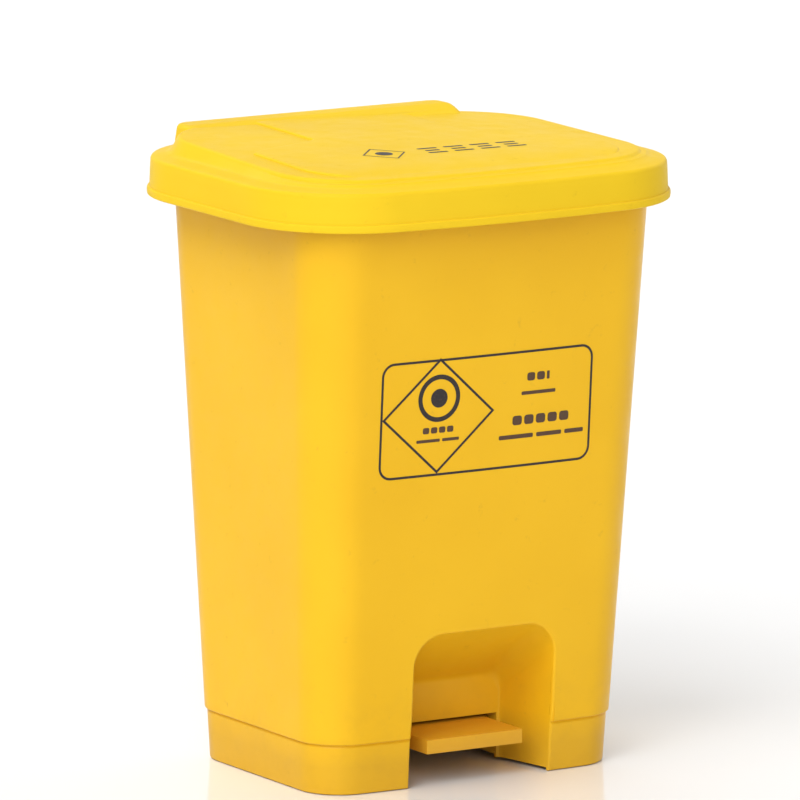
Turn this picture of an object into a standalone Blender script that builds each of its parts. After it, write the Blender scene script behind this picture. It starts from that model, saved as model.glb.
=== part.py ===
"""Pedal-operated biohazard waste bin, in metres, +Z up, front towards -Y, standing on z = 0.

A tapered plastic outer body holds a removable liner bucket. Pressing the pedal in the front
recess rocks the pedal lever on its axle, the lever lifts the push rod that runs up a groove in
the rear wall, and the rod's hooked end lifts the lid about two hinge pins under its rear edge.
"""

import math

import bmesh
import bpy
from mathutils import Matrix, Vector

MM = 0.001

# Outer body: a rounded rectangle whose walls lean outwards towards the top.
STEP_Z = 34.4 * MM  # the plinth's top, where the body steps in
STEP_HALF_WIDTH = 120.0 * MM
STEP_FRONT = 86.7 * MM
STEP_BACK = 90.4 * MM
SIDE_TAPER = 0.0443
FRONT_TAPER = 0.0635
BACK_TAPER = 0.0477
CORNER_RADIUS = 31.6 * MM
CORNER_GROWTH = 0.0127
FRONT_CROWN = 2.2 * MM
WALL = 2.6 * MM
PLINTH_INSET = 5.7 * MM
FLOOR_Z = 50.0 * MM
RIM_Z = 409.6 * MM
LEDGE_Z = 392.0 * MM  # the shelf inside the rim that the liner hangs on
RIM_FLARE = 8.0 * MM
RIM_CORNER_RADIUS = 58.0 * MM

# Recess in the front for the foot, and the two cheeks that carry the pedal axle.
RECESS_HALF_WIDTH = 55.0 * MM
RECESS_TOP_Z = 104.0 * MM
RECESS_DEPTH = 50.0 * MM
RECESS_ARCH_RADIUS = 22.0 * MM
RECESS_PANEL_TOP_Z = 62.0 * MM
RECESS_PANEL_BOTTOM_Z = 33.0 * MM
CHEEK_HALF_GAP = 47.5 * MM
CHEEK_WALL = 4.0 * MM
CHEEK_BACK_Y = 2.0 * MM

# Lid.
LID_HALF_WIDTH = 160.0 * MM
LID_HALF_DEPTH = 134.0 * MM
LID_CORNER_RADIUS = 79.0 * MM
LID_FRONT_CROWN = 4.0 * MM
SKIRT_BOTTOM_Z = 386.0 * MM
BEAD_TOP_Z = 391.6 * MM
BEAD_PROUD = 1.7 * MM
LID_LEDGE_Z = 412.4 * MM
LEDGE_INSET = 15.5 * MM  # from the skirt's bead to the foot of the raised panel
PANEL_INSET = 23.0 * MM
PANEL_EDGE_Z = 420.4 * MM
PANEL_TOP_Z = 421.2 * MM
PANEL_SLOPE = 0.022  # the panel rises towards the hinge
HUMP_TOP_Z = 426.5 * MM
HUMP_CREST_HALF_WIDTH = 104.0 * MM
HUMP_FOOT_HALF_WIDTH = 110.0 * MM
HUMP_FRONT_Y = 98.0 * MM
HUMP_BACK_Y = 130.5 * MM
LID_WALL = 2.4 * MM

# Hinge: two clevises on the body, a knuckle on the lid in each.
HINGE_Y = 124.0 * MM
HINGE_Z = 398.0 * MM
HINGE_X = 72.0 * MM
HINGE_PIN_RADIUS = 2.2 * MM
EAR_RADIUS = 5.2 * MM
EAR_THICKNESS = 5.0 * MM
KNUCKLE_RADIUS = 4.9 * MM
KNUCKLE_WIDTH = 8.6 * MM

# Push rod: it slides along its own axis, which leans back, and hooks into a lug on the lid.
ROD_RADIUS = 2.4 * MM
ROD_LEAN = 0.08  # metres of Y for each metre of Z
ROD_X = -4.0 * MM
ROD_TOP_Y = 108.1 * MM
ROD_TOP_Z = 386.9 * MM
ROD_BOTTOM_Z = 10.0 * MM
HOOK_END_X = 11.5 * MM
HOOK_BEND = 3.5 * MM
LUG_X = 4.5 * MM
LUG_THICKNESS = 6.0 * MM
LUG_ANGLE = math.radians(216.4)  # from +Y, round towards +Z
LUG_SLOT_NEAR = 14.7 * MM  # the slot's two ends, measured from the hinge pin
LUG_SLOT_FAR = 19.6 * MM
SLOT_HALF_WIDTH = 3.3 * MM
LUG_RIM = 2.9 * MM
CAP_RADIUS = 5.0 * MM
CAP_THICKNESS = 2.2 * MM
GROOVE_HALF_WIDTH = 20.0 * MM
GROOVE_DEPTH = 11.4 * MM  # from the rod's axis to the groove's floor
GROOVE_BEVEL = 1.5 * MM
GUIDE_HEIGHTS = {"upper": 318.0 * MM, "lower": 130.0 * MM}
GUIDE_HALF_HEIGHT = 7.0 * MM
GUIDE_PLAY = 0.5 * MM
GUIDE_SCREW_X = 9.6 * MM
SCREW_RADIUS = 1.5 * MM

# Pedal lever and its axle.
AXLE_Y = -22.0 * MM
AXLE_Z = 22.0 * MM
AXLE_RADIUS = 3.0 * MM
AXLE_HALF_LENGTH = 56.0 * MM
PEDAL_HALF_WIDTH = 37.5 * MM
PEDAL_FRONT_Y = -83.0 * MM
PEDAL_TOP_Z = 29.5 * MM
PEDAL_LIP = 8.0 * MM
PLATE_THICKNESS = 4.0 * MM
BEAM_HALF_WIDTH = 15.0 * MM
BEAM_RIB = 3.0 * MM
HUB_RADIUS = 7.5 * MM

# Liner bucket, hung in the outer body on its flange, with a wire bail.
LINER_BOTTOM_Z = 112.0 * MM
LINER_GAP = 4.5 * MM
LINER_WALL = 2.0 * MM
LINER_BACK_AT_TOP = 88.0 * MM
LINER_FLANGE = 10.4 * MM
LINER_BACK_FLANGE = 6.0 * MM
BAIL_RADIUS = 1.8 * MM
BAIL_X = 138.3 * MM
BAIL_FRONT_Y = -107.0 * MM
BAIL_PIVOT_Z = 399.0 * MM
BAIL_FRONT_Z = 400.8 * MM
BAIL_CORNER = 50.0 * MM
GRIP_RADIUS = 5.6 * MM
GRIP_HALF_LENGTH = 45.0 * MM

TOUCH = 0.3 * MM  # the gap left between pieces that touch
RUN_PLAY = 0.08 * MM  # radial play of a shaft that turns in its hole
ARC_STEPS = 6
SIDE_STEPS = 4


def clear_scene():
    for obj in list(bpy.data.objects):
        bpy.data.objects.remove(obj, do_unlink=True)


def material(name, colour, roughness, metallic=0.0):
    made = bpy.data.materials.new(name)
    made.use_nodes = True
    shader = made.node_tree.nodes["Principled BSDF"]
    shader.inputs["Base Color"].default_value = (*colour, 1.0)
    shader.inputs["Roughness"].default_value = roughness
    shader.inputs["Metallic"].default_value = metallic
    return made


def add_object(name, bm, mat=None, origin=(0, 0, 0)):
    """Turns a bmesh into an object whose origin lies at `origin`."""
    bmesh.ops.triangulate(bm, faces=bm.faces)
    bmesh.ops.recalc_face_normals(bm, faces=bm.faces)
    bm.transform(Matrix.Translation(-Vector(origin)))
    mesh = bpy.data.meshes.new(name)
    bm.to_mesh(mesh)
    bm.free()
    mesh.shade_smooth()
    mesh.set_sharp_from_angle(angle=math.radians(32))
    obj = bpy.data.objects.new(name, mesh)
    obj.location = origin
    bpy.context.scene.collection.objects.link(obj)
    if mat:
        mesh.materials.append(mat)
    return obj


def boolean(target, tool, operation, self_crossing=False):
    """Adds `tool` to `target` or cuts it away, and keeps `tool` out of renders."""
    modifier = target.modifiers.new(f"{operation.title()} {tool.name}", "BOOLEAN")
    modifier.operation = operation
    modifier.object = tool
    modifier.solver = "EXACT"
    modifier.use_self = self_crossing
    tool.hide_render = True
    tool.display_type = "WIRE"


def rounded_outline(half_width, front, back, radius, front_crown=0.0, back_crown=0.0):
    """(x, y) points anticlockwise from the back right corner. `front` and `back` are distances."""
    corners = (
        (half_width - radius, back - radius, 0, back_crown),
        (radius - half_width, back - radius, 90, 0.0),
        (radius - half_width, radius - front, 180, front_crown),
        (half_width - radius, radius - front, 270, 0.0),
    )
    points = []
    for index, (cx, cy, start, crown) in enumerate(corners):
        for step in range(ARC_STEPS + 1):
            angle = math.radians(start + 90 * step / ARC_STEPS)
            points.append(Vector((cx + radius * math.cos(angle), cy + radius * math.sin(angle))))
        next_cx, next_cy, next_start, _ = corners[(index + 1) % 4]
        turn = math.radians(next_start)
        direction = Vector((math.cos(turn), math.sin(turn)))
        begin = points[-1]
        end = Vector((next_cx, next_cy)) + radius * direction
        for step in range(1, SIDE_STEPS):
            share = step / SIDE_STEPS
            bulge = crown * 4 * share * (1 - share)
            points.append(begin.lerp(end, share) + bulge * direction)
    return points


def lift(outline, height):
    """Places an outline at a height, which may be a number or a function of (x, y)."""
    if callable(height):
        return [Vector((p.x, p.y, height(p.x, p.y))) for p in outline]
    return [Vector((p.x, p.y, height)) for p in outline]


def loft(rings):
    """A closed solid through rings of equal point counts, with flat ends."""
    bm = bmesh.new()
    loops = [[bm.verts.new(point) for point in ring] for ring in rings]
    for lower, upper in zip(loops, loops[1:]):
        for index in range(len(lower)):
            after = (index + 1) % len(lower)
            bm.faces.new((lower[index], lower[after], upper[after], upper[index]))
    bm.faces.new(loops[0][::-1])
    bm.faces.new(loops[-1])
    return bm


def block(low, high):
    bm = bmesh.new()
    bmesh.ops.create_cube(bm, size=1.0)
    low, high = Vector(low), Vector(high)
    bm.transform(Matrix.Translation((low + high) / 2) @ Matrix.Diagonal((*(high - low), 1.0)))
    return bm


def extrude_outline(points, low_x, high_x):
    """A prism along X from (y, z) points."""
    return loft([[Vector((x, y, z)) for y, z in points] for x in (low_x, high_x)])


def cylinder_x(radius, low_x, high_x, y, z, segments=24):
    points = []
    for step in range(segments):
        angle = 2 * math.pi * step / segments
        points.append((y + radius * math.cos(angle), z + radius * math.sin(angle)))
    return extrude_outline(points, low_x, high_x)


def capsule_outline(start, end, radius, steps=8):
    """(y, z) points round a slot or a bar with round ends."""
    start, end = Vector(start), Vector(end)
    along = (end - start).normalized()
    base = math.atan2(along.y, along.x)
    points = []
    for centre, first in ((end, base - math.pi / 2), (start, base + math.pi / 2)):
        for step in range(steps + 1):
            angle = first + math.pi * step / steps
            points.append((centre.x + radius * math.cos(angle), centre.y + radius * math.sin(angle)))
    return points


def lathe_y(profile, centre, direction, segments=20):
    """A turned solid from (radius, distance) points along `direction`, starting on the axis."""
    direction = Vector(direction).normalized()
    side = direction.orthogonal().normalized()
    other = direction.cross(side)
    rings = []
    for radius, distance in profile:
        ring = []
        for step in range(segments):
            angle = 2 * math.pi * step / segments
            offset = radius * (math.cos(angle) * side + math.sin(angle) * other)
            ring.append(Vector(centre) + distance * direction + offset)
        rings.append(ring)
    return loft(rings)


def tube_along(points, radius, sides=10):
    """A round bar through points, mitred at each, with flat ends."""
    points = [Vector(point) for point in points]
    rings = []
    previous = None
    for index, point in enumerate(points):
        before = points[max(index - 1, 0)]
        after = points[min(index + 1, len(points) - 1)]
        along = (after - before).normalized()
        side = previous or along.orthogonal()
        side = (side - side.dot(along) * along).normalized()
        previous = side
        other = along.cross(side)
        ring = []
        for step in range(sides):
            angle = 2 * math.pi * step / sides
            ring.append(point + radius * (math.cos(angle) * side + math.sin(angle) * other))
        rings.append(ring)
    return loft(rings)


def body_front(z):
    return STEP_FRONT + FRONT_TAPER * (z - STEP_Z)


def body_back(z):
    return STEP_BACK + BACK_TAPER * (z - STEP_Z)


def body_ring(z, inset, radius=None):
    """The body's wall at height z, moved inwards by `inset`."""
    outline = rounded_outline(
        STEP_HALF_WIDTH + SIDE_TAPER * (z - STEP_Z) - inset,
        body_front(z) - inset,
        body_back(z) - inset,
        radius or CORNER_RADIUS + CORNER_GROWTH * z - inset,
        front_crown=FRONT_CROWN,
    )
    return lift(outline, z)


def rim_ring(z, inset=0.0):
    """The flared rim, its corners rounder than the wall's so that they clear the lid's."""
    return body_ring(z, inset - RIM_FLARE, RIM_CORNER_RADIUS - inset)


def rod_y(z):
    return ROD_TOP_Y + ROD_LEAN * (z - ROD_TOP_Z)


def arch_ring(y_of_z, half_width, top_z, radius, bottom_z):
    """An arched opening seen from the front, standing on `bottom_z`, at y = y_of_z(z)."""
    points = [(-half_width, bottom_z), (half_width, bottom_z)]
    for centre_x, start in ((half_width - radius, 0), (radius - half_width, 90)):
        for step in range(ARC_STEPS + 1):
            angle = math.radians(start + 90 * step / ARC_STEPS)
            x = centre_x + radius * math.cos(angle)
            points.append((x, top_z - radius + radius * math.sin(angle)))
    return [Vector((x, y_of_z(z), z)) for x, z in points]


def recess_lining():
    """The recess's walls as a solid that starts inside the front wall and ends at the back panel."""

    def middle_of_front_wall(z):
        inset = 0 if z > STEP_Z else PLINTH_INSET
        return inset + WALL / 2 - body_front(z)

    def back(_z):
        return RECESS_DEPTH - STEP_FRONT + WALL

    half_width = RECESS_HALF_WIDTH + WALL
    bottom = 2 * MM
    front_top, back_top = RECESS_TOP_Z + WALL, RECESS_PANEL_TOP_Z + WALL
    return loft([
        arch_ring(middle_of_front_wall, half_width, front_top, RECESS_ARCH_RADIUS, bottom),
        arch_ring(back, half_width - 4 * MM, back_top, RECESS_ARCH_RADIUS / 2, bottom),
    ])


def recess_space():
    """What the foot reaches into: its ceiling slopes down from the front to the back panel."""
    half_width, bottom = RECESS_HALF_WIDTH, -5 * MM
    lead_in = 3 * MM
    depths = (
        (-60 * MM, half_width + lead_in, RECESS_TOP_Z + lead_in, RECESS_ARCH_RADIUS),
        (-1 * MM, half_width + lead_in, RECESS_TOP_Z + lead_in, RECESS_ARCH_RADIUS),
        (0.6 * MM, half_width + 1 * MM, RECESS_TOP_Z + 1 * MM, RECESS_ARCH_RADIUS),
        (lead_in, half_width, RECESS_TOP_Z, RECESS_ARCH_RADIUS),
        (RECESS_DEPTH, half_width - 4 * MM, RECESS_PANEL_TOP_Z, RECESS_ARCH_RADIUS / 2),
    )
    rings = []
    for depth, half, top, radius in depths:
        share = min(max(1 - depth / RECESS_DEPTH, 0), 1)

        def sloped(z, depth=depth, share=share):
            return depth - STEP_FRONT - share * FRONT_TAPER * (z - STEP_Z)

        rings.append(arch_ring(sloped, half, top, radius, bottom))
    return loft(rings)


def groove_channel(low_z, high_z, grow=0.0):
    """The groove's space or, grown by a wall, the channel that it is cut from."""
    rings = []
    for z in (low_z, STEP_Z, STEP_Z + 0.5 * MM, high_z):
        inset = 0 if z > STEP_Z else PLINTH_INSET
        back = body_back(z) - inset - WALL / 2 if grow else 150 * MM
        front = rod_y(z) - GROOVE_DEPTH - grow
        half = GROOVE_HALF_WIDTH + grow
        outline = (
            (half, back),
            (-half, back),
            (-half, front + GROOVE_BEVEL),
            (GROOVE_BEVEL - half, front),
            (half - GROOVE_BEVEL, front),
            (half, front + GROOVE_BEVEL),
        )
        rings.append([Vector((x, y, z)) for x, y in outline])
    return loft(rings)


def ear_solid(centre_x):
    """One cheek of a hinge clevis, from the back of the rim out round the pin."""
    root = body_back(HINGE_Z) + RIM_FLARE - 1.2 * MM
    outline = [(root, HINGE_Z + 5.6 * MM), (root, HINGE_Z - 5.8 * MM)]
    for step in range(11):
        angle = math.radians(-90 + 180 * step / 10)
        y = HINGE_Y + EAR_RADIUS * math.cos(angle)
        outline.append((y, HINGE_Z + EAR_RADIUS * math.sin(angle)))
    return extrude_outline(outline, centre_x - EAR_THICKNESS / 2, centre_x + EAR_THICKNESS / 2)


def hinge_bore(side):
    low_x, high_x = side * HINGE_X - 12 * MM, side * HINGE_X + 12 * MM
    return cylinder_x(HINGE_PIN_RADIUS + RUN_PLAY, low_x, high_x, HINGE_Y, HINGE_Z)


def body_shell():
    """Rings from the floor up the inside, over the flared rim, down the outside, up the chamber."""
    chamber_inset = PLINTH_INSET + WALL
    return loft([
        body_ring(FLOOR_Z, WALL + 4 * MM),
        body_ring(FLOOR_Z + 1.2 * MM, WALL + 1.2 * MM),
        body_ring(FLOOR_Z + 4 * MM, WALL),
        body_ring(LEDGE_Z, WALL),
        rim_ring(LEDGE_Z, WALL),
        rim_ring(RIM_Z, WALL),
        rim_ring(RIM_Z),
        rim_ring(LEDGE_Z + 1.4 * MM),
        rim_ring(LEDGE_Z - WALL, 3.4 * MM),
        body_ring(LEDGE_Z - WALL, 0),
        body_ring(STEP_Z + 1.6 * MM, 0),
        body_ring(STEP_Z, 0.6 * MM),
        body_ring(STEP_Z - 0.4 * MM, PLINTH_INSET - 0.6 * MM),
        body_ring(STEP_Z - 1.4 * MM, PLINTH_INSET),
        body_ring(0.8 * MM, PLINTH_INSET),
        body_ring(0, PLINTH_INSET + 0.6 * MM),
        body_ring(0, chamber_inset),
        body_ring(STEP_Z + 1.6 * MM, chamber_inset),
        body_ring(STEP_Z + 4.6 * MM, WALL),
        body_ring(FLOOR_Z - WALL, WALL),
    ])


def outer_body(plastic):
    """One moulding: the bin above its floor, and an open chamber for the lever below it."""
    body = add_object("outer_body", body_shell(), plastic)
    panel_y = RECESS_DEPTH - STEP_FRONT

    boolean(body, add_object("recess_lining", recess_lining()), "UNION")
    for side in (-1, 1):
        near, far = sorted((side * CHEEK_HALF_GAP, side * (CHEEK_HALF_GAP + CHEEK_WALL)))
        low = (near, panel_y - 1 * MM, 4 * MM)
        high = (far, CHEEK_BACK_Y, FLOOR_Z - 1 * MM)
        boolean(body, add_object(f"cheek_{side}", block(low, high)), "UNION")
    channel = groove_channel(0.5 * MM, RIM_Z - 0.5 * MM, WALL)
    boolean(body, add_object("groove_lining", channel), "UNION")
    for side in (-1, 1):
        for face in (-1, 1):
            reach = KNUCKLE_WIDTH / 2 + TOUCH + EAR_THICKNESS / 2
            ear = ear_solid(side * HINGE_X + face * reach)
            boolean(body, add_object(f"ear_{side}_{face}", ear), "UNION")

    boolean(body, add_object("recess", recess_space()), "DIFFERENCE")
    mouth_low = (-CHEEK_HALF_GAP, panel_y - 2 * MM, -5 * MM)
    mouth_high = (CHEEK_HALF_GAP, panel_y + 8 * MM, RECESS_PANEL_BOTTOM_Z)
    boolean(body, add_object("lever_mouth", block(mouth_low, mouth_high)), "DIFFERENCE")
    groove = groove_channel(-5 * MM, RIM_Z + 5 * MM)
    boolean(body, add_object("groove", groove), "DIFFERENCE")
    notch = block((-16.5 * MM, 55 * MM, -5 * MM), (16.5 * MM, 100 * MM, 43 * MM))
    boolean(body, add_object("lever_notch", notch), "DIFFERENCE")
    for side in (-1, 1):
        boolean(body, add_object(f"hinge_bore_{side}", hinge_bore(side)), "DIFFERENCE")
    axle_bore = cylinder_x(AXLE_RADIUS + RUN_PLAY, -60 * MM, 60 * MM, AXLE_Y, AXLE_Z)
    boolean(body, add_object("axle_bore", axle_bore), "DIFFERENCE")
    for name, height in GUIDE_HEIGHTS.items():
        for side in (-1, 1):
            hole = screw_hole(side, 12 * MM)
            hole.transform(groove_frame(height))
            boolean(body, add_object(f"{name}_screw_hole_{side}", hole), "DIFFERENCE")


def groove_frame(height):
    """Local axes of the groove at a height: origin on its floor, Y out of the groove, Z up the rod."""
    lean = math.atan(ROD_LEAN)
    place = Vector((ROD_X, rod_y(height), height))
    turn = Matrix.Rotation(-lean, 4, "X")
    return Matrix.Translation(place) @ turn @ Matrix.Translation((0, -floor_distance(), 0))


def floor_distance():
    """The distance from the rod's axis to the groove's floor, square to the floor."""
    return GROOVE_DEPTH * math.cos(math.atan(ROD_LEAN))


def lid_outline(inset):
    return rounded_outline(
        LID_HALF_WIDTH - inset,
        LID_HALF_DEPTH - LID_FRONT_CROWN - inset,
        LID_HALF_DEPTH - inset,
        LID_CORNER_RADIUS - inset,
        front_crown=LID_FRONT_CROWN,
    )


def lid_ring(inset, z):
    return lift(lid_outline(inset), z)


def panel_ring(inset, share, base_z):
    """A ring on the raised panel, shrunk by `share` towards its middle and tilted with it."""
    shrunk = [point * share for point in lid_outline(inset)]
    return lift(shrunk, lambda _x, y: base_z + PANEL_SLOPE * y)


def lid_cover():
    """Rings from the panel's underside out, down inside the skirt, up outside and over the top."""
    skirt = BEAD_PROUD
    inside = PANEL_INSET + LID_WALL
    return loft([
        panel_ring(inside, 0.35, PANEL_TOP_Z - LID_WALL),
        panel_ring(inside, 1, PANEL_EDGE_Z - LID_WALL),
        lid_ring(LEDGE_INSET + LID_WALL, LID_LEDGE_Z - LID_WALL),
        lid_ring(skirt + 6 * MM, LID_LEDGE_Z - LID_WALL),
        lid_ring(skirt + LID_WALL + 0.6 * MM, LID_LEDGE_Z - 6 * MM),
        lid_ring(skirt + LID_WALL - 0.4 * MM, SKIRT_BOTTOM_Z),
        lid_ring(0.6 * MM, SKIRT_BOTTOM_Z),
        lid_ring(0, SKIRT_BOTTOM_Z + 1.2 * MM),
        lid_ring(0, BEAD_TOP_Z - 1 * MM),
        lid_ring(skirt, BEAD_TOP_Z),
        lid_ring(skirt + 1 * MM, LID_LEDGE_Z - 5 * MM),
        lid_ring(skirt + 2.2 * MM, LID_LEDGE_Z - 2 * MM),
        lid_ring(skirt + 5 * MM, LID_LEDGE_Z),
        lid_ring(LEDGE_INSET, LID_LEDGE_Z),
        panel_ring(PANEL_INSET, 1, PANEL_EDGE_Z),
        panel_ring(PANEL_INSET, 0.94, PANEL_EDGE_Z + 0.9 * MM),
        panel_ring(PANEL_INSET, 0.35, PANEL_TOP_Z),
    ])


def hump_solid(shrink, low_z, buried):
    """The hump over the hinge: its ends slope, its front fades into the panel, and its back runs
    down into the skirt by `buried` and follows it round the corners."""
    top_z = HUMP_TOP_Z - shrink
    rings = []
    for y, narrowing, top, depth in (
        (HUMP_FRONT_Y + shrink, 0, PANEL_EDGE_Z + 1 * MM - shrink, 0),
        (HUMP_FRONT_Y + 12 * MM + shrink, 0, top_z, 0),
        (HUMP_BACK_Y - 7 * MM - shrink, 1 * MM, top_z, 0.5),
        (HUMP_BACK_Y - 3 * MM - shrink, 9 * MM, top_z - 0.6 * MM, 1),
        (HUMP_BACK_Y - 0.8 * MM - shrink, 17 * MM, top_z - 2.5 * MM, 1),
        (HUMP_BACK_Y - shrink, 24 * MM, top_z - 5 * MM, 1),
    ):
        crest = HUMP_CREST_HALF_WIDTH - narrowing - shrink
        foot = HUMP_FOOT_HALF_WIDTH - narrowing - shrink
        low = low_z - depth * buried
        outline = ((-foot, low), (foot, low), (crest, top), (-crest, top))
        rings.append([Vector((x, y, z)) for x, z in outline])
    return loft(rings)


def lug_centre(distance):
    """A point on the lug's slot, `distance` from the hinge pin."""
    return (HINGE_Y + distance * math.cos(LUG_ANGLE), HINGE_Z + distance * math.sin(LUG_ANGLE))


def lug_solid():
    """The plate that hangs from the panel and holds the rod's hook in its slot."""
    near = Vector(lug_centre(LUG_SLOT_NEAR - 2 * MM))
    far = Vector(lug_centre(LUG_SLOT_FAR))
    radius = SLOT_HALF_WIDTH + LUG_RIM
    root_z = HUMP_TOP_Z - 1.2 * MM
    outline = [(near.x + radius + 3 * MM, root_z), (far.x + 4 * MM, root_z)]
    outline.append((far.x - radius + 1 * MM, PANEL_EDGE_Z - 1 * MM))
    for step in range(9):
        angle = math.pi + 0.75 * LUG_ANGLE * step / 8
        outline.append((far.x + radius * math.cos(angle), far.y + radius * math.sin(angle)))
    outline.append((near.x + radius + 1 * MM, near.y - radius * 0.4))
    low_x = LUG_X - LUG_THICKNESS / 2
    return extrude_outline(outline, low_x, low_x + LUG_THICKNESS)


def lid_shell(plastic):
    """A thin cover: beaded skirt, ledge, raised crowned panel, hump, knuckles and rod lug."""
    lid = add_object("lid_shell", lid_cover(), plastic, (0, HINGE_Y, HINGE_Z))
    hump = hump_solid(0, LID_LEDGE_Z - 1 * MM, 5 * MM)
    boolean(lid, add_object("lid_hump", hump), "UNION")
    cavity = hump_solid(LID_WALL, LID_LEDGE_Z - 4 * MM, 0)
    boolean(lid, add_object("hump_cavity", cavity), "DIFFERENCE")
    knuckle_top = (HINGE_Y - 3 * MM, HUMP_TOP_Z - KNUCKLE_RADIUS - 1 * MM)
    knuckle = capsule_outline((HINGE_Y, HINGE_Z), knuckle_top, KNUCKLE_RADIUS)
    for side in (-1, 1):
        low_x = side * HINGE_X - KNUCKLE_WIDTH / 2
        solid = extrude_outline(knuckle, low_x, low_x + KNUCKLE_WIDTH)
        boolean(lid, add_object(f"knuckle_{side}", solid), "UNION")
    boolean(lid, add_object("rod_lug", lug_solid()), "UNION")
    for side in (-1, 1):
        boolean(lid, add_object(f"knuckle_bore_{side}", hinge_bore(side)), "DIFFERENCE")
    slot = capsule_outline(lug_centre(LUG_SLOT_NEAR), lug_centre(LUG_SLOT_FAR), SLOT_HALF_WIDTH)
    slot_solid = extrude_outline(slot, LUG_X - LUG_THICKNESS, LUG_X + LUG_THICKNESS)
    boolean(lid, add_object("rod_slot", slot_solid), "DIFFERENCE")


def hinge_pins(steel):
    """A headed pin through each clevis, its head on the outer side."""
    half = KNUCKLE_WIDTH / 2 + TOUCH + EAR_THICKNESS
    for side, name in ((-1, "left"), (1, "right")):
        start = Vector((side * (HINGE_X - half - 1.2 * MM), HINGE_Y, HINGE_Z))
        shank = 2 * half + 1.2 * MM + TOUCH
        profile = (
            (HINGE_PIN_RADIUS - 0.5 * MM, 0),
            (HINGE_PIN_RADIUS, 0.5 * MM),
            (HINGE_PIN_RADIUS, shank),
            (3.8 * MM, shank),
            (3.8 * MM, shank + 0.8 * MM),
            (2.8 * MM, shank + 1.5 * MM),
        )
        add_object(f"hinge_pin_{name}", lathe_y(profile, start, (side, 0, 0)), steel, start)


def push_rod(steel):
    """A straight bar whose two ends are bent over into hooks."""
    points = []
    for z, turn in ((ROD_BOTTOM_Z, 1), (ROD_TOP_Z, -1)):
        bend = []
        for step in range(5):
            angle = math.radians(90 * step / 4)
            x = ROD_X + HOOK_BEND * (1 - math.cos(angle))
            height = z + turn * HOOK_BEND * (1 - math.sin(angle))
            bend.append(Vector((x, rod_y(height), height)))
        bend.append(Vector((HOOK_END_X, rod_y(z), z)))
        points += bend[::-1] if turn == 1 else bend
    origin = (ROD_X, rod_y(ROD_BOTTOM_Z), ROD_BOTTOM_Z)
    add_object("push_rod", tube_along(points, ROD_RADIUS), steel, origin)


def rod_caps(steel):
    """Push-on caps that keep the rod's hooks in the lug and in the lever's tab."""
    start_x = LUG_X + LUG_THICKNESS / 2 + 0.6 * MM
    for name, z in (("top", ROD_TOP_Z), ("bottom", ROD_BOTTOM_Z)):
        start = Vector((start_x, rod_y(z), z))
        add_object(f"rod_cap_{name}", washer(start, (1, 0, 0), ROD_RADIUS), steel, start)


def washer(start, direction, hole_radius):
    """A domed push-on cap, a ring round a bar of `hole_radius`."""
    direction = Vector(direction)
    bore = hole_radius + 0.05 * MM
    profile = (
        (bore, 0),
        (CAP_RADIUS, 0),
        (CAP_RADIUS, 0.8 * MM),
        (bore + 1.0 * MM, CAP_THICKNESS),
        (bore, CAP_THICKNESS),
    )
    return turned_ring(profile, start, direction)


def turned_ring(profile, start, direction, segments=20):
    """A closed profile of (radius, distance) points turned about `direction`."""
    side = direction.orthogonal().normalized()
    other = direction.cross(side)
    bm = bmesh.new()
    rings = []
    for step in range(segments):
        angle = 2 * math.pi * step / segments
        outward = math.cos(angle) * side + math.sin(angle) * other
        rings.append([bm.verts.new(start + d * direction + r * outward) for r, d in profile])
    for ring, after in zip(rings, rings[1:] + rings[:1]):
        for index in range(len(profile)):
            following = (index + 1) % len(profile)
            bm.faces.new((ring[index], ring[following], after[following], after[index]))
    return bm


def screw_hole(side, depth):
    """A cutter for a guide screw's hole, in the groove's local axes."""
    start = Vector((side * GUIDE_SCREW_X, depth / 2, 0))
    radius = SCREW_RADIUS + RUN_PLAY
    return lathe_y(((radius, 0), (radius, depth)), start, (0, -1, 0), 12)


def rod_guides(plastic, steel):
    """Saddle clamps screwed to the groove's floor, each with an eye that the rod slides in."""
    foot_half = GUIDE_SCREW_X + 4.2 * MM
    eye = floor_distance()
    arch = ROD_RADIUS + 3.6 * MM
    for name, height in GUIDE_HEIGHTS.items():
        frame = groove_frame(height)
        outline = [(foot_half, TOUCH), (foot_half, 2.8 * MM), (arch, 2.8 * MM)]
        for step in range(9):
            angle = math.pi * step / 8
            outline.append((arch * math.cos(angle), eye + arch * math.sin(angle)))
        outline += [(-arch, 2.8 * MM), (-foot_half, 2.8 * MM), (-foot_half, TOUCH)]
        ends = (-GUIDE_HALF_HEIGHT, GUIDE_HALF_HEIGHT)
        clamp_mesh = loft([[Vector((x, y, z)) for x, y in outline] for z in ends])
        clamp_mesh.transform(frame)
        origin = frame.translation
        clamp = add_object(f"rod_guide_{name}", clamp_mesh, plastic, origin)

        bore_start = frame @ Vector((0, eye, -GUIDE_HALF_HEIGHT - 2 * MM))
        along = frame.to_3x3() @ Vector((0, 0, 1))
        reach = 2 * GUIDE_HALF_HEIGHT + 4 * MM
        radius = ROD_RADIUS + GUIDE_PLAY
        bore = lathe_y(((radius, 0), (radius, reach)), bore_start, along, 16)
        boolean(clamp, add_object(f"{name}_eye", bore), "DIFFERENCE")
        for side, side_name in ((-1, "left"), (1, "right")):
            hole = screw_hole(side, 12 * MM)
            hole.transform(frame)
            boolean(clamp, add_object(f"{name}_foot_hole_{side}", hole), "DIFFERENCE")
            screw = guide_screw(side)
            screw.transform(frame)
            head = frame @ Vector((side * GUIDE_SCREW_X, 2.8 * MM, 0))
            add_object(f"guide_screw_{name}_{side_name}", screw, steel, head)


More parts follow.
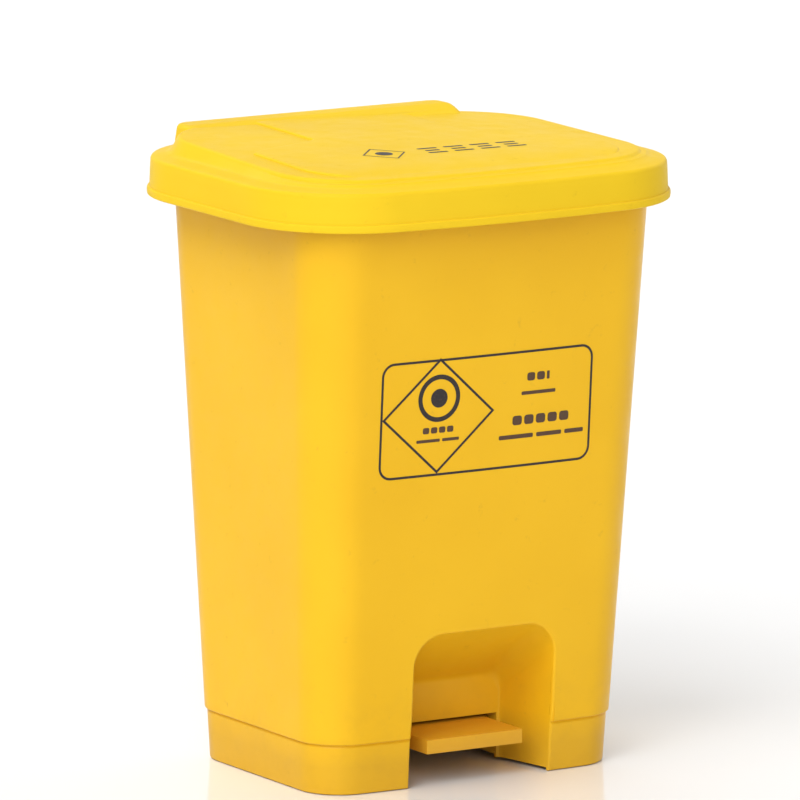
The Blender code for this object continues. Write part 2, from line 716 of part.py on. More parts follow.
def guide_screw(side):
    """A pan-head screw through one foot of a guide into the groove's floor."""
    start = Vector((side * GUIDE_SCREW_X, 5.0 * MM, 0))
    head_end = 5.0 * MM - 2.8 * MM - TOUCH
    profile = (
        (1.2 * MM, 0),
        (2.6 * MM, 0.7 * MM),
        (2.9 * MM, head_end),
        (SCREW_RADIUS, head_end),
        (SCREW_RADIUS, 8.2 * MM),
        (0.5 * MM, 9.6 * MM),
    )
    return lathe_y(profile, start, (0, -1, 0), 14)


def pedal_lever(plastic):
    """Tread plate with a thick lip, cross tube on the axle, ribbed beam, tab for the rod."""
    origin = (0, AXLE_Y, AXLE_Z)
    front, top = PEDAL_FRONT_Y, PEDAL_TOP_Z
    plate = [
        (front + 1.5 * MM, top - PEDAL_LIP),
        (front + 4.5 * MM, top - PEDAL_LIP),
        (front + 7 * MM, top - PLATE_THICKNESS),
        (AXLE_Y + 1.7 * MM, top - PLATE_THICKNESS - 1 * MM),
        (AXLE_Y + 1.7 * MM, top - 1 * MM),
        (front + 2 * MM, top),
        (front + 0.5 * MM, top - 0.8 * MM),
        (front, top - 2.4 * MM),
        (front + 0.2 * MM, top - PEDAL_LIP + 1.5 * MM),
    ]
    tread = extrude_outline(plate, -PEDAL_HALF_WIDTH, PEDAL_HALF_WIDTH)
    lever = add_object("pedal_lever", tread, plastic, origin)

    tube_half = CHEEK_HALF_GAP - 0.6 * MM
    tube = cylinder_x(HUB_RADIUS, -tube_half, tube_half, AXLE_Y, AXLE_Z, 20)
    boolean(lever, add_object("lever_tube", tube), "UNION", self_crossing=True)

    tab_y, tab_z = rod_y(ROD_BOTTOM_Z), ROD_BOTTOM_Z
    beam_end = 64 * MM
    web = [
        (AXLE_Y, AXLE_Z + 2 * MM),
        (beam_end, tab_z + 3 * MM),
        (beam_end, tab_z + 6.5 * MM),
        (AXLE_Y, AXLE_Z + 5.5 * MM),
    ]
    web_mesh = extrude_outline(web, -BEAM_HALF_WIDTH, BEAM_HALF_WIDTH)
    boolean(lever, add_object("lever_web", web_mesh), "UNION")
    rib = [
        (-60 * MM, top - PLATE_THICKNESS + 1 * MM),
        (-60 * MM, top - PLATE_THICKNESS - 3 * MM),
        (AXLE_Y, AXLE_Z - HUB_RADIUS + 1 * MM),
        (beam_end, tab_z - 5 * MM),
        (beam_end, tab_z + 6.5 * MM),
        (AXLE_Y, AXLE_Z + 5.5 * MM),
    ]
    for side in (-1, 1):
        near, far = sorted((side * BEAM_HALF_WIDTH, side * (BEAM_HALF_WIDTH - BEAM_RIB)))
        boolean(lever, add_object(f"lever_rib_{side}", extrude_outline(rib, near, far)), "UNION")
    tab = capsule_outline((beam_end - 12 * MM, tab_z + 2 * MM), (tab_y, tab_z), 6.4 * MM)
    half = LUG_THICKNESS / 2
    tab_mesh = extrude_outline(tab, LUG_X - half, LUG_X + half)
    boolean(lever, add_object("lever_tab", tab_mesh), "UNION")

    slot = capsule_outline((tab_y - 0.3 * MM, tab_z), (tab_y + 1.7 * MM, tab_z), SLOT_HALF_WIDTH)
    slot_mesh = extrude_outline(slot, LUG_X - 2 * half, LUG_X + 2 * half)
    boolean(lever, add_object("tab_slot", slot_mesh), "DIFFERENCE")
    bore = cylinder_x(AXLE_RADIUS + RUN_PLAY, -60 * MM, 60 * MM, AXLE_Y, AXLE_Z)
    boolean(lever, add_object("lever_bore", bore), "DIFFERENCE")


def axle_parts(steel):
    """The axle through the two cheeks, and a push-on cap outside each."""
    half = AXLE_HALF_LENGTH
    origin = (0, AXLE_Y, AXLE_Z)
    add_object("pedal_axle", cylinder_x(AXLE_RADIUS, -half, half, AXLE_Y, AXLE_Z), steel, origin)
    for side, name in ((-1, "left"), (1, "right")):
        outer_face = side * (CHEEK_HALF_GAP + CHEEK_WALL + TOUCH)
        start = Vector((outer_face, AXLE_Y, AXLE_Z))
        cap = washer(start, (side, 0, 0), AXLE_RADIUS)
        add_object(f"axle_cap_{name}", cap, steel, start)


def liner_ring(z, inset, back_inset=None, radius=None):
    """The liner's outside at height z, moved inwards by `inset`."""
    gap = WALL + LINER_GAP + inset
    back_inset = inset if back_inset is None else back_inset
    outline = rounded_outline(
        STEP_HALF_WIDTH + SIDE_TAPER * (z - STEP_Z) - gap,
        body_front(z) - gap,
        LINER_BACK_AT_TOP + ROD_LEAN * (z - LEDGE_Z) - back_inset,
        radius or CORNER_RADIUS + CORNER_GROWTH * z - gap,
        front_crown=FRONT_CROWN,
    )
    return lift(outline, z)


def inner_bucket(plastic):
    """The liner: a tapered cup that hangs on the body's ledge, with two bail ears."""
    flange_z = LEDGE_Z + TOUCH
    flange_top = flange_z + 2.4 * MM
    flange_radius = RIM_CORNER_RADIUS - WALL - 1.5 * MM
    cup = loft([
        liner_ring(LINER_BOTTOM_Z + LINER_WALL, LINER_WALL + 4 * MM),
        liner_ring(LINER_BOTTOM_Z + LINER_WALL + 4 * MM, LINER_WALL),
        liner_ring(flange_top, LINER_WALL),
        liner_ring(flange_top, -LINER_FLANGE, -LINER_BACK_FLANGE, flange_radius),
        liner_ring(flange_z, -LINER_FLANGE, -LINER_BACK_FLANGE, flange_radius),
        liner_ring(flange_z, 0),
        liner_ring(LINER_BOTTOM_Z + 5 * MM, 0),
        liner_ring(LINER_BOTTOM_Z + 1.2 * MM, 1.4 * MM),
        liner_ring(LINER_BOTTOM_Z, 5 * MM),
    ])
    bucket = add_object("inner_bucket", cup, plastic)
    for side in (-1, 1):
        low_x = side * (BAIL_X - 4.8 * MM) - 2 * MM
        top = (0, BAIL_PIVOT_Z)
        ear = extrude_outline(capsule_outline((0, flange_z + 4.4 * MM), top, 4 * MM), low_x, low_x + 4 * MM)
        boolean(bucket, add_object(f"bail_ear_{side}", ear), "UNION")
        bore_low, bore_high = side * BAIL_X - 9 * MM, side * BAIL_X + 9 * MM
        bore = cylinder_x(BAIL_RADIUS + RUN_PLAY, bore_low, bore_high, 0, BAIL_PIVOT_Z, 16)
        boolean(bucket, add_object(f"bail_bore_{side}", bore), "DIFFERENCE")


def bail_points():
    """The wire's centre line: in through one ear, round the front of the rim, out through the other."""
    drop = Vector((BAIL_X - 8.4 * MM, 0, BAIL_PIVOT_Z))
    half = [drop, Vector((BAIL_X - 2 * MM, 0, BAIL_PIVOT_Z))]
    half.append(Vector((BAIL_X - 0.5 * MM, -0.6 * MM, BAIL_PIVOT_Z)))
    half.append(Vector((BAIL_X, -2.2 * MM, BAIL_PIVOT_Z)))
    corner = Vector((BAIL_X - BAIL_CORNER, BAIL_FRONT_Y + BAIL_CORNER, 0))
    for step in range(9):
        angle = math.radians(-90 * step / 8)
        x = corner.x + BAIL_CORNER * math.cos(angle)
        y = corner.y + BAIL_CORNER * math.sin(angle)
        share = y / BAIL_FRONT_Y
        half.append(Vector((x, y, BAIL_PIVOT_Z + share * (BAIL_FRONT_Z - BAIL_PIVOT_Z))))
    mirrored = [Vector((-p.x, p.y, p.z)) for p in reversed(half)]
    return half + mirrored


def bail(steel, grip_plastic):
    """The liner's wire handle, lying on its flange, and the grip in its middle."""
    origin = (0, 0, BAIL_PIVOT_Z)
    add_object("bail_wire", tube_along(bail_points(), BAIL_RADIUS), steel, origin)
    start = Vector((-GRIP_HALF_LENGTH, BAIL_FRONT_Y, BAIL_FRONT_Z))
    length = 2 * GRIP_HALF_LENGTH
    hole = BAIL_RADIUS + 0.1 * MM
    profile = (
        (hole, 0),
        (GRIP_RADIUS - 1.6 * MM, 0),
        (GRIP_RADIUS, 3 * MM),
        (GRIP_RADIUS, length - 3 * MM),
        (GRIP_RADIUS - 1.6 * MM, length),
        (hole, length),
    )
    grip = turned_ring(profile, start, Vector((1, 0, 0)), 16)
    add_object("bail_grip", grip, grip_plastic, start)


def main():
    clear_scene()
    yellow = material("yellow_plastic", (0.86, 0.50, 0.035), 0.38)
    lid_yellow = material("lid_plastic", (0.90, 0.60, 0.04), 0.36)
    pedal_yellow = material("pedal_plastic", (0.84, 0.44, 0.03), 0.42)
    liner_grey = material("liner_plastic", (0.10, 0.10, 0.11), 0.5)
    steel = material("zinc_steel", (0.62, 0.62, 0.60), 0.32, 1.0)
    grip_plastic = material("grip_plastic", (0.03, 0.03, 0.03), 0.5)

    outer_body(yellow)
    lid_shell(lid_yellow)
    hinge_pins(steel)
    push_rod(steel)
    rod_caps(steel)
    rod_guides(grip_plastic, steel)
    pedal_lever(pedal_yellow)
    axle_parts(steel)
    inner_bucket(liner_grey)
    bail(steel, grip_plastic)


main()
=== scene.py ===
"""Studio scene for the biohazard pedal bin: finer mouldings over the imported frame, their
materials, a generic front print, lights, floor and camera.

Lengths are in metres, +Z is up and the bin's front faces -Y.
"""

import math

import bmesh
import bpy
from mathutils import Matrix, Vector


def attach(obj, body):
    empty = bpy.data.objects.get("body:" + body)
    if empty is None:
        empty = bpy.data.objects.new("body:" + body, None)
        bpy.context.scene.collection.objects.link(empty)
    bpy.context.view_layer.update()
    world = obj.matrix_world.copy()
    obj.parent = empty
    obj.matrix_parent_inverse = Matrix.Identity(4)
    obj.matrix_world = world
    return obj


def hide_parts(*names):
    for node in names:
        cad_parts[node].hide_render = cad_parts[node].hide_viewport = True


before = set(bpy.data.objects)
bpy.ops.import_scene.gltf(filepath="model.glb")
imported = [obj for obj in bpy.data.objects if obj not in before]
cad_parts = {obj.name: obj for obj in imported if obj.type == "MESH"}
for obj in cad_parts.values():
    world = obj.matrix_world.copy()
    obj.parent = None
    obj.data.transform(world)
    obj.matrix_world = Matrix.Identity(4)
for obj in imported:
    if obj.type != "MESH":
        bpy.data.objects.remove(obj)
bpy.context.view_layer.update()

MM = 0.001

# The outer body's walls. Front and back are distances from the centre plane.
STEP_Z = 34.4 * MM
STEP_HALF_WIDTH = 120.0 * MM
STEP_FRONT = 86.7 * MM
STEP_BACK = 90.4 * MM
SIDE_TAPER = 0.0443
FRONT_TAPER = 0.0635
BACK_TAPER = 0.0477
CORNER_RADIUS = 31.6 * MM
CORNER_GROWTH = 0.0127
FRONT_CROWN = 2.2 * MM
WALL = 2.6 * MM
PLINTH_INSET = 1.6 * MM
STEP_ROUND = 1.0 * MM
FLOOR_Z = 50.0 * MM
SIDE_RIB_X = 84.0 * MM
CROSS_RIBS_Y = (24.0 * MM, 54.0 * MM)
RIB_HALF = 1.0 * MM
RIM_Z = 409.6 * MM
LEDGE_Z = 392.0 * MM
RIM_FLARE = 8.0 * MM
RIM_CORNER_RADIUS = 58.0 * MM

# Foot recess and the cheeks that carry the pedal axle.
RECESS_HALF_WIDTH = 55.0 * MM
RECESS_TOP_Z = 104.0 * MM
RECESS_DEPTH = 50.0 * MM
RECESS_ARCH_RADIUS = 22.0 * MM
RECESS_EDGE_RADIUS = 2.0 * MM
RECESS_SKEW = 4.2 * MM  # the opening sits this far to the right of its back panel
RECESS_PANEL_TOP_Z = 62.0 * MM
RECESS_PANEL_BOTTOM_Z = 33.0 * MM
CHEEK_HALF_GAP = 47.5 * MM
CHEEK_WALL = 4.0 * MM
CHEEK_BACK_Y = 2.0 * MM
NOTCH_HALF_WIDTH = 16.5 * MM  # the opening at the rear that the lever's tab moves in
NOTCH_TOP_Z = 43.0 * MM

# Lid.
LID_HALF_WIDTH = 160.0 * MM
LID_HALF_DEPTH = 134.0 * MM
LID_CORNER_RADIUS = 79.0 * MM
LID_FRONT_CROWN = 4.0 * MM
SKIRT_BOTTOM_Z = 386.0 * MM
BEAD_TOP_Z = 391.6 * MM
BEAD_PROUD = 1.7 * MM
LID_LEDGE_Z = 412.4 * MM
LEDGE_INSET = 15.5 * MM
PANEL_INSET = 23.0 * MM
PANEL_EDGE_Z = 418.2 * MM  # at the front
PANEL_CROWN = 0.8 * MM
PANEL_SLOPE = 0.022
PANEL_TWIST = 0.108  # how much less the right side climbs, per metre
PAD_RISE = 1.5 * MM
HUMP_TOP_Z = 426.5 * MM
HUMP_LEFT = (110.0 * MM, 113.0 * MM)  # crest and foot
HUMP_RIGHT = (100.0 * MM, 109.0 * MM)
HUMP_FRONT_Y = 98.0 * MM
HUMP_BACK_Y = 130.5 * MM
LID_WALL = 2.4 * MM
LID_EDGE_RADIUS = 2.8 * MM
LID_RIBS_X = (-100.0 * MM, -50.0 * MM, 50.0 * MM, 100.0 * MM)
LID_RIB_HALF = 0.8 * MM
PAD_NECK = 58.0 * MM
PAD_BELLY = 121.0 * MM
PAD_CORNER = 46.0 * MM
PAD_FRONT_MARGIN = 8.0 * MM

# Hinge, push rod, pedal and liner places that the mouldings share with the frame.
HINGE_Y = 124.0 * MM
HINGE_Z = 398.0 * MM
HINGE_X = 72.0 * MM
HINGE_BORE = 2.28 * MM
EAR_RADIUS = 5.2 * MM
EAR_THICKNESS = 5.0 * MM
KNUCKLE_RADIUS = 4.9 * MM
KNUCKLE_WIDTH = 8.6 * MM
ROD_LEAN = 0.08
ROD_X = -4.0 * MM
ROD_TOP_Y = 108.1 * MM
ROD_TOP_Z = 386.9 * MM
ROD_BOTTOM_Z = 10.0 * MM
LUG_X = 4.5 * MM
LUG_THICKNESS = 6.0 * MM
LUG_ANGLE = math.radians(216.4)
LUG_SLOT_NEAR = 14.7 * MM
LUG_SLOT_FAR = 19.6 * MM
SLOT_HALF_WIDTH = 3.3 * MM
LUG_RIM = 2.9 * MM
GROOVE_HALF_WIDTH = 20.0 * MM
GROOVE_DEPTH = 11.4 * MM
GUIDE_HEIGHTS = (318.0 * MM, 130.0 * MM)
GUIDE_SCREW_X = 9.6 * MM
SCREW_HOLE = 1.58 * MM
AXLE_Y = -22.0 * MM
AXLE_Z = 22.0 * MM
AXLE_BORE = 3.08 * MM
PEDAL_HALF_WIDTH = 37.5 * MM
PEDAL_FRONT_Y = -83.0 * MM
PEDAL_TOP_Z = 30.8 * MM
PEDAL_LIP = 9.4 * MM
TREAD_SHIFT = 1.5 * MM
PLATE_THICKNESS = 4.0 * MM
BEAM_HALF_WIDTH = 15.0 * MM
BEAM_RIB = 3.0 * MM
BEAM_END_Y = 64.0 * MM
TREAD_WALL = 2.6 * MM
HUB_RADIUS = 7.5 * MM
LINER_BOTTOM_Z = 112.0 * MM
LINER_GAP = 4.5 * MM
LINER_WALL = 2.0 * MM
LINER_BACK_AT_TOP = 88.0 * MM
LINER_FLANGE = 10.4 * MM
LINER_BACK_FLANGE = 6.0 * MM
BAIL_X = 138.3 * MM
BAIL_PIVOT_Z = 399.0 * MM
BAIL_BORE = 1.88 * MM
TOUCH = 0.3 * MM

# The front print: a frame, a diamond with a plain mark, and bars where lettering would be.
FRAME_LOW = (-84.0 * MM, 215.0 * MM)
FRAME_HIGH = (79.5 * MM, 292.8 * MM)
FRAME_RADIUS = 8.5 * MM
PRINT_LINE = 1.65 * MM
DIAMOND_CENTRE = (-40.3 * MM, 255.0 * MM)
DIAMOND_HALF = (42.0 * MM, 38.2 * MM)
PRINT_FILM = 0.12 * MM

SHARP_ANGLE = 0.6  # between faces, in radians

# Divisions of each corner and each side of a rounded outline.
ARC_STEPS = 14
SIDE_STEPS = 16

CAMERA_PLACE = Vector((-3.8894, -6.3080, 1.5859))
CAMERA_AZIMUTH = math.radians(31.609)
CAMERA_ELEVATION = math.radians(10.249)
CAMERA_ROLL = math.radians(-0.228)
CAMERA_LENS = 503.65
SENSOR_WIDTH = 36.0

FLOOR_HALF_SIZE = 14.0
FLOOR_DROP = 0.4 * MM
HORIZON_GLOW = 1.0
OVERHEAD_GLOW = 0.1
# Name, bearing anticlockwise from +X, height and softness in degrees, strength.
LAMPS = (
    ("left", 195, 56, 40, 0.5),
    ("front_left", 225, 35, 40, 0.46),
    ("fill", 262, 10, 60, 0.13),
    ("back", 90, 50, 50, 0.35),
    ("right", 15, 35, 60, 0.25),
)


# ---- mesh helpers


def on_circle(centre, radius, angle):
    return (centre[0] + radius * math.cos(angle), centre[1] + radius * math.sin(angle))


def circle(centre, radius, segments):
    turns = (2 * math.pi * step / segments for step in range(segments))
    return [on_circle(centre, radius, angle) for angle in turns]


def arc(centre, radius, start, steps, turn=90):
    """Points along part of a circle, from `start` through `turn` degrees."""
    turns = (math.radians(start + turn * step / steps) for step in range(steps + 1))
    return [on_circle(centre, radius, angle) for angle in turns]


def rounded_outline(half_width, front, back, radius, front_crown=0.0):
    """Points anticlockwise from the back right corner. `front` and `back` are distances."""
    corners = (
        (half_width - radius, back - radius, 0, 0.0),
        (radius - half_width, back - radius, 90, 0.0),
        (radius - half_width, radius - front, 180, front_crown),
        (half_width - radius, radius - front, 270, 0.0),
    )
    points = []
    for index, (cx, cy, start, crown) in enumerate(corners):
        points += [Vector(point) for point in arc((cx, cy), radius, start, ARC_STEPS)]
        next_cx, next_cy, next_start, _ = corners[(index + 1) % 4]
        turn = math.radians(next_start)
        direction = Vector((math.cos(turn), math.sin(turn)))
        begin = points[-1]
        end = Vector((next_cx, next_cy)) + radius * direction
        for step in range(1, SIDE_STEPS):
            share = step / SIDE_STEPS
            bulge = crown * 4 * share * (1 - share)
            points.append(begin.lerp(end, share) + bulge * direction)
    return points


def lift(outline, height):
    """The outline at a height, which is a number or a function of x and y."""
    if callable(height):
        return [Vector((p.x, p.y, height(p.x, p.y))) for p in outline]
    return [Vector((p.x, p.y, height)) for p in outline]


def loft(rings):
    """A closed solid through rings of equal point counts, with flat ends."""
    bm = bmesh.new()
    loops = [[bm.verts.new(point) for point in ring] for ring in rings]
    for lower, upper in zip(loops, loops[1:]):
        for index in range(len(lower)):
            after = (index + 1) % len(lower)
            bm.faces.new((lower[index], lower[after], upper[after], upper[index]))
    bm.faces.new(loops[0][::-1])
    bm.faces.new(loops[-1])
    return bm


def split_ends(bm):
    """Triangulates the loft's flat ends, which the Booleans need."""
    bmesh.ops.triangulate(bm, faces=[f for f in bm.faces if len(f.verts) > 4])
    return bm


def block(low, high):
    (x0, y0, z0), (x1, y1, z1) = low, high
    corners = ((x0, y0), (x1, y0), (x1, y1), (x0, y1))
    return loft([[Vector((x, y, z)) for x, y in corners] for z in (z0, z1)])


def extrude_x(points, low_x, high_x):
    return loft([[Vector((x, y, z)) for y, z in points] for x in (low_x, high_x)])


def cylinder_x(radius, low_x, high_x, y, z, segments=40):
    return extrude_x(circle((y, z), radius, segments), low_x, high_x)


def capsule(start, end, radius, steps=14):
    """Points round a slot's outline."""
    start, end = Vector(start), Vector(end)
    along = (end - start).normalized()
    heading = math.atan2(along.y, along.x)
    points = []
    for centre, turn in ((end, -90), (start, 90)):
        for step in range(steps + 1):
            angle = heading + math.radians(turn + 180 * step / steps)
            points.append(centre + radius * Vector((math.cos(angle), math.sin(angle))))
    return [(p.x, p.y) for p in points]


def solid(name, bm, bevel=0.0, segments=3):
    """An object from a bmesh, optionally with its sharp edges rounded."""
    if bevel:
        sharp = [
            e for e in bm.edges if len(e.link_faces) == 2 and e.calc_face_angle() > SHARP_ANGLE
        ]
        bmesh.ops.bevel(
            bm, geom=sharp, offset=bevel, segments=segments, profile=0.6, affect="EDGES",
            clamp_overlap=True,
        )
    bmesh.ops.recalc_face_normals(bm, faces=bm.faces)
    mesh = bpy.data.meshes.new(name)
    bm.to_mesh(mesh)
    bm.free()
    obj = bpy.data.objects.new(name, mesh)
    bpy.context.scene.collection.objects.link(obj)
    return obj


def combine(target, steps):
    """Applies (bmesh or object, "UNION" or "DIFFERENCE") steps to `target` and clears up."""
    tools = []
    for index, (tool, operation) in enumerate(steps):
        if not isinstance(tool, bpy.types.Object):
            bmesh.ops.triangulate(tool, faces=tool.faces)
            tool = solid(f"{target.name}_tool_{index}", tool)
        modifier = target.modifiers.new(f"step_{index}", "BOOLEAN")
        modifier.operation = operation
        modifier.object = tool
        modifier.solver = "MANIFOLD"
        tools.append(tool)
    settle(target)
    for tool in tools:
        bpy.data.objects.remove(tool, do_unlink=True)
    assert len(target.data.polygons) > 100, target.name
    return target


def settle(obj):
    """Applies the object's modifiers to its mesh."""
    graph = bpy.context.evaluated_depsgraph_get()
    made = bpy.data.meshes.new_from_object(obj.evaluated_get(graph))
    obj.modifiers.clear()
    obj.data = made
    made.name = obj.name


def finish_piece(obj, material, body, nodes=(), angle=28):
    """Smooth shading with crisp edges, a material, and its place on a body of the frame."""
    mesh = obj.data
    mesh.materials.clear()
    mesh.materials.append(material)
    mesh.shade_smooth()
    mesh.set_sharp_from_angle(angle=math.radians(angle))
    weighted = obj.modifiers.new("even_shading", "WEIGHTED_NORMAL")
    weighted.keep_sharp = True
    weighted.weight = 100
    settle(obj)
    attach(obj, body)
    if nodes:
        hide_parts(*nodes)
    return obj


# ---- outer body


def body_front(z):
    return STEP_FRONT + FRONT_TAPER * (z - STEP_Z)


def body_back(z):
    return STEP_BACK + BACK_TAPER * (z - STEP_Z)


def body_half_width(z):
    return STEP_HALF_WIDTH + SIDE_TAPER * (z - STEP_Z)


def corner_radius(z):
    return CORNER_RADIUS + CORNER_GROWTH * z


def body_ring(z, inset, radius=None):
    outline = rounded_outline(
        body_half_width(z) - inset,
        body_front(z) - inset,
        body_back(z) - inset,
        radius or corner_radius(z) - inset,
        front_crown=FRONT_CROWN,
    )
    return lift(outline, z)


def rim_ring(z, inset=0.0):
    return body_ring(z, inset - RIM_FLARE, RIM_CORNER_RADIUS - inset)


def rod_y(z):
    return ROD_TOP_Y + ROD_LEAN * (z - ROD_TOP_Z)


def quarter(radius, steps=5):
    """(across, along) pairs of a quarter round, from (0, radius) to (radius, 0)."""
    turned = []
    for step in range(steps + 1):
        angle = math.radians(90 * step / steps)
        turned.append((radius * (1 - math.cos(angle)), radius * (1 - math.sin(angle))))
    return turned


def body_shell():
    rings = [body_ring(*place) for place in (
        (FLOOR_Z, WALL + 9 * MM),
        (FLOOR_Z, WALL + 4 * MM),
        (FLOOR_Z + 0.5 * MM, WALL + 2.2 * MM),
        (FLOOR_Z + 1.6 * MM, WALL + 0.8 * MM),
        (FLOOR_Z + 4 * MM, WALL),
        (160 * MM, WALL),
        (280 * MM, WALL),
        (LEDGE_Z - 0.5 * MM, WALL),
        (LEDGE_Z, WALL - 0.5 * MM),
    )]
    rings += [rim_ring(*place) for place in (
        (LEDGE_Z, WALL + 0.6 * MM),
        (LEDGE_Z + 0.6 * MM, WALL),
        (RIM_Z - 0.8 * MM, WALL),
        (RIM_Z - 0.25 * MM, WALL - 0.25 * MM),
        (RIM_Z, WALL - 0.8 * MM),
        (RIM_Z, 0.8 * MM),
        (RIM_Z - 0.25 * MM, 0.25 * MM),
        (RIM_Z - 0.8 * MM, 0),
        (LEDGE_Z + 1.4 * MM, 0),
        (LEDGE_Z - WALL, 3.4 * MM),
    )]
    rings += [body_ring(*place) for place in (
        (LEDGE_Z - WALL, -1.2 * MM),
        (LEDGE_Z - WALL - 1.2 * MM, 0),
        (330 * MM, 0),
        (270 * MM, 0),
        (210 * MM, 0),
        (150 * MM, 0),
        (90 * MM, 0),
    )]
    for across, along in quarter(STEP_ROUND):
        rings.append(body_ring(STEP_Z + along, across))
    rings += [body_ring(*place) for place in (
        (STEP_Z - 0.2 * MM, PLINTH_INSET + 0.7 * MM),
        (STEP_Z - 0.9 * MM, PLINTH_INSET + 0.8 * MM),
        (STEP_Z - 1.5 * MM, PLINTH_INSET + 0.4 * MM),
        (STEP_Z - 2.2 * MM, PLINTH_INSET),
        (16 * MM, PLINTH_INSET),
        (1.2 * MM, PLINTH_INSET),
        (0.4 * MM, PLINTH_INSET + 0.3 * MM),
        (0, PLINTH_INSET + 0.9 * MM),
        (0, PLINTH_INSET + WALL - 0.4 * MM),
        (0.4 * MM, PLINTH_INSET + WALL),
        (STEP_Z + 1.6 * MM, PLINTH_INSET + WALL),
        (STEP_Z + 4.6 * MM, WALL),
        (FLOOR_Z - WALL - 1.5 * MM, WALL),
        (FLOOR_Z - WALL, WALL + 1.5 * MM),
    )]
    return loft(rings)


def arch_ring(y_of_z, half_width, top_z, radius, bottom_z, shift=0.0):
    """An arched opening seen from the front, with points at the plinth's step."""
    arc_start = top_z - radius
    sides = [bottom_z, 0.3 * STEP_Z, 0.7 * STEP_Z]
    sides += [STEP_Z - 1.5 * MM, STEP_Z - 0.1 * MM, STEP_Z + 0.4 * MM, STEP_Z + 1.8 * MM]
    sides = [z for z in sides if z < arc_start - 0.5 * MM]
    sides += [sides[-1] + (arc_start - sides[-1]) * k / 4 for k in (1, 2, 3)]
    points = [(half_width, z) for z in sides]
    for centre_x, start in ((half_width - radius, 0), (radius - half_width, 90)):
        points += arc((centre_x, top_z - radius), radius, start, ARC_STEPS)
        if start == 0:
            for step in range(1, 6):
                points.append(((half_width - radius) * (1 - step / 3), top_z))
    points += [(-half_width, z) for z in reversed(sides)]
    return [Vector((x + shift, y_of_z(x + shift, z), z)) for x, z in points]


def local_inset(z):
    """How far the wall's face lies behind the upper wall's plane at height z."""
    if z > STEP_Z + 1.8 * MM:
        return 0.0
    if z > STEP_Z - 0.05 * MM:
        return STEP_ROUND
    return PLINTH_INSET


def front_bulge(x, z):
    """The front wall's crown at x."""
    half = body_half_width(z) - corner_radius(z)
    return FRONT_CROWN * max(0.0, 1 - (x / half) ** 2)


def recess_space():
    """The cutter for the foot recess, with a rounded mouth and a rounded back."""
    rings = []
    mouth = [(-60 * MM, RECESS_EDGE_RADIUS)] + quarter(RECESS_EDGE_RADIUS, 7)
    for depth, wider in mouth:
        def follows_wall(x, z, depth=depth):
            return depth + local_inset(z) - body_front(z) - front_bulge(x, z)

        rings.append(arch_ring(
            follows_wall, RECESS_HALF_WIDTH + wider, RECESS_TOP_Z + wider,
            RECESS_ARCH_RADIUS + wider * 0.5, -5 * MM, RECESS_SKEW,
        ))
    inwards = ((0.25, 0), (0.5, 0), (0.75, 0), (0.94, 0.6), (0.985, 1.6), (1.0, 3.4))
    for share, drawn_in in inwards:
        depth = RECESS_EDGE_RADIUS + (RECESS_DEPTH - RECESS_EDGE_RADIUS) * share
        front_share = 1 - depth / RECESS_DEPTH

        def sloped(_x, z, depth=depth, front_share=front_share):
            return depth - STEP_FRONT - front_share * FRONT_TAPER * (z - STEP_Z)

        rings.append(arch_ring(
            sloped,
            RECESS_HALF_WIDTH - 4 * MM * share - drawn_in * MM,
            RECESS_TOP_Z + (RECESS_PANEL_TOP_Z - RECESS_TOP_Z) * share - drawn_in * MM,
            RECESS_ARCH_RADIUS * (1 - share / 2), -5 * MM, RECESS_SKEW * (1 - share),
        ))
    return loft(rings)


def recess_lining():
    """The recess's walls, joined to the body before the recess is cut."""
    def middle_of_front_wall(x, z):
        inset = 0 if z > STEP_Z else PLINTH_INSET
        return inset + WALL / 2 - body_front(z) - front_bulge(x, z) * 0.5

    def back(_x, _z):
        return RECESS_DEPTH - STEP_FRONT + WALL

    half, radius = RECESS_HALF_WIDTH + WALL, RECESS_ARCH_RADIUS
    top, panel_top = RECESS_TOP_Z + WALL, RECESS_PANEL_TOP_Z + WALL
    return loft([
        arch_ring(middle_of_front_wall, half, top, radius, 2 * MM, RECESS_SKEW),
        arch_ring(back, half - 4 * MM, panel_top, radius / 2, 2 * MM),
    ])


def groove_channel(low_z, high_z, grow=0.0):
    """The rod groove as a cutter or, grown by the wall, as its lining."""
    rings = []
    for z in (low_z, STEP_Z, STEP_Z + 0.5 * MM, high_z):
        inset = 0 if z > STEP_Z else PLINTH_INSET
        back = body_back(z) - inset - WALL / 2 if grow else 150 * MM
        front = rod_y(z) - GROOVE_DEPTH - grow
        half = GROOVE_HALF_WIDTH + grow
        round_off = 3 * MM if not grow else 2 * MM
        outline = [(half, back), (-half, back)]
        corner = arc((half - round_off, front + round_off), round_off, 0, 5, -90)
        outline += [(-x, y) for x, y in corner] + corner[::-1]
        rings.append([Vector((x, y, z)) for x, y in outline])
    return loft(rings)


def groove_frame(height):
    """The place on the groove's floor behind the rod, with Z along the rod."""
    lean = math.atan(ROD_LEAN)
    place = Matrix.Translation((ROD_X, rod_y(height), height))
    back = Matrix.Translation((0, -GROOVE_DEPTH * math.cos(lean), 0))
    return place @ Matrix.Rotation(-lean, 4, "X") @ back


def ear_solid(centre_x):
    """One of the body's hinge ears, rooted in the rim."""
    root = body_back(HINGE_Z) + RIM_FLARE - 1.2 * MM
    outline = [(root, HINGE_Z + 5.6 * MM), (root, HINGE_Z - 5.8 * MM)]
    outline += arc((HINGE_Y, HINGE_Z), EAR_RADIUS, -90, 18, 180)
    return extrude_x(outline, centre_x - EAR_THICKNESS / 2, centre_x + EAR_THICKNESS / 2)


def hinge_bores():
    steps = []
    for side in (-1, 1):
        low, high = side * HINGE_X - 12 * MM, side * HINGE_X + 12 * MM
        steps.append((cylinder_x(HINGE_BORE, low, high, HINGE_Y, HINGE_Z), "DIFFERENCE"))
    return steps


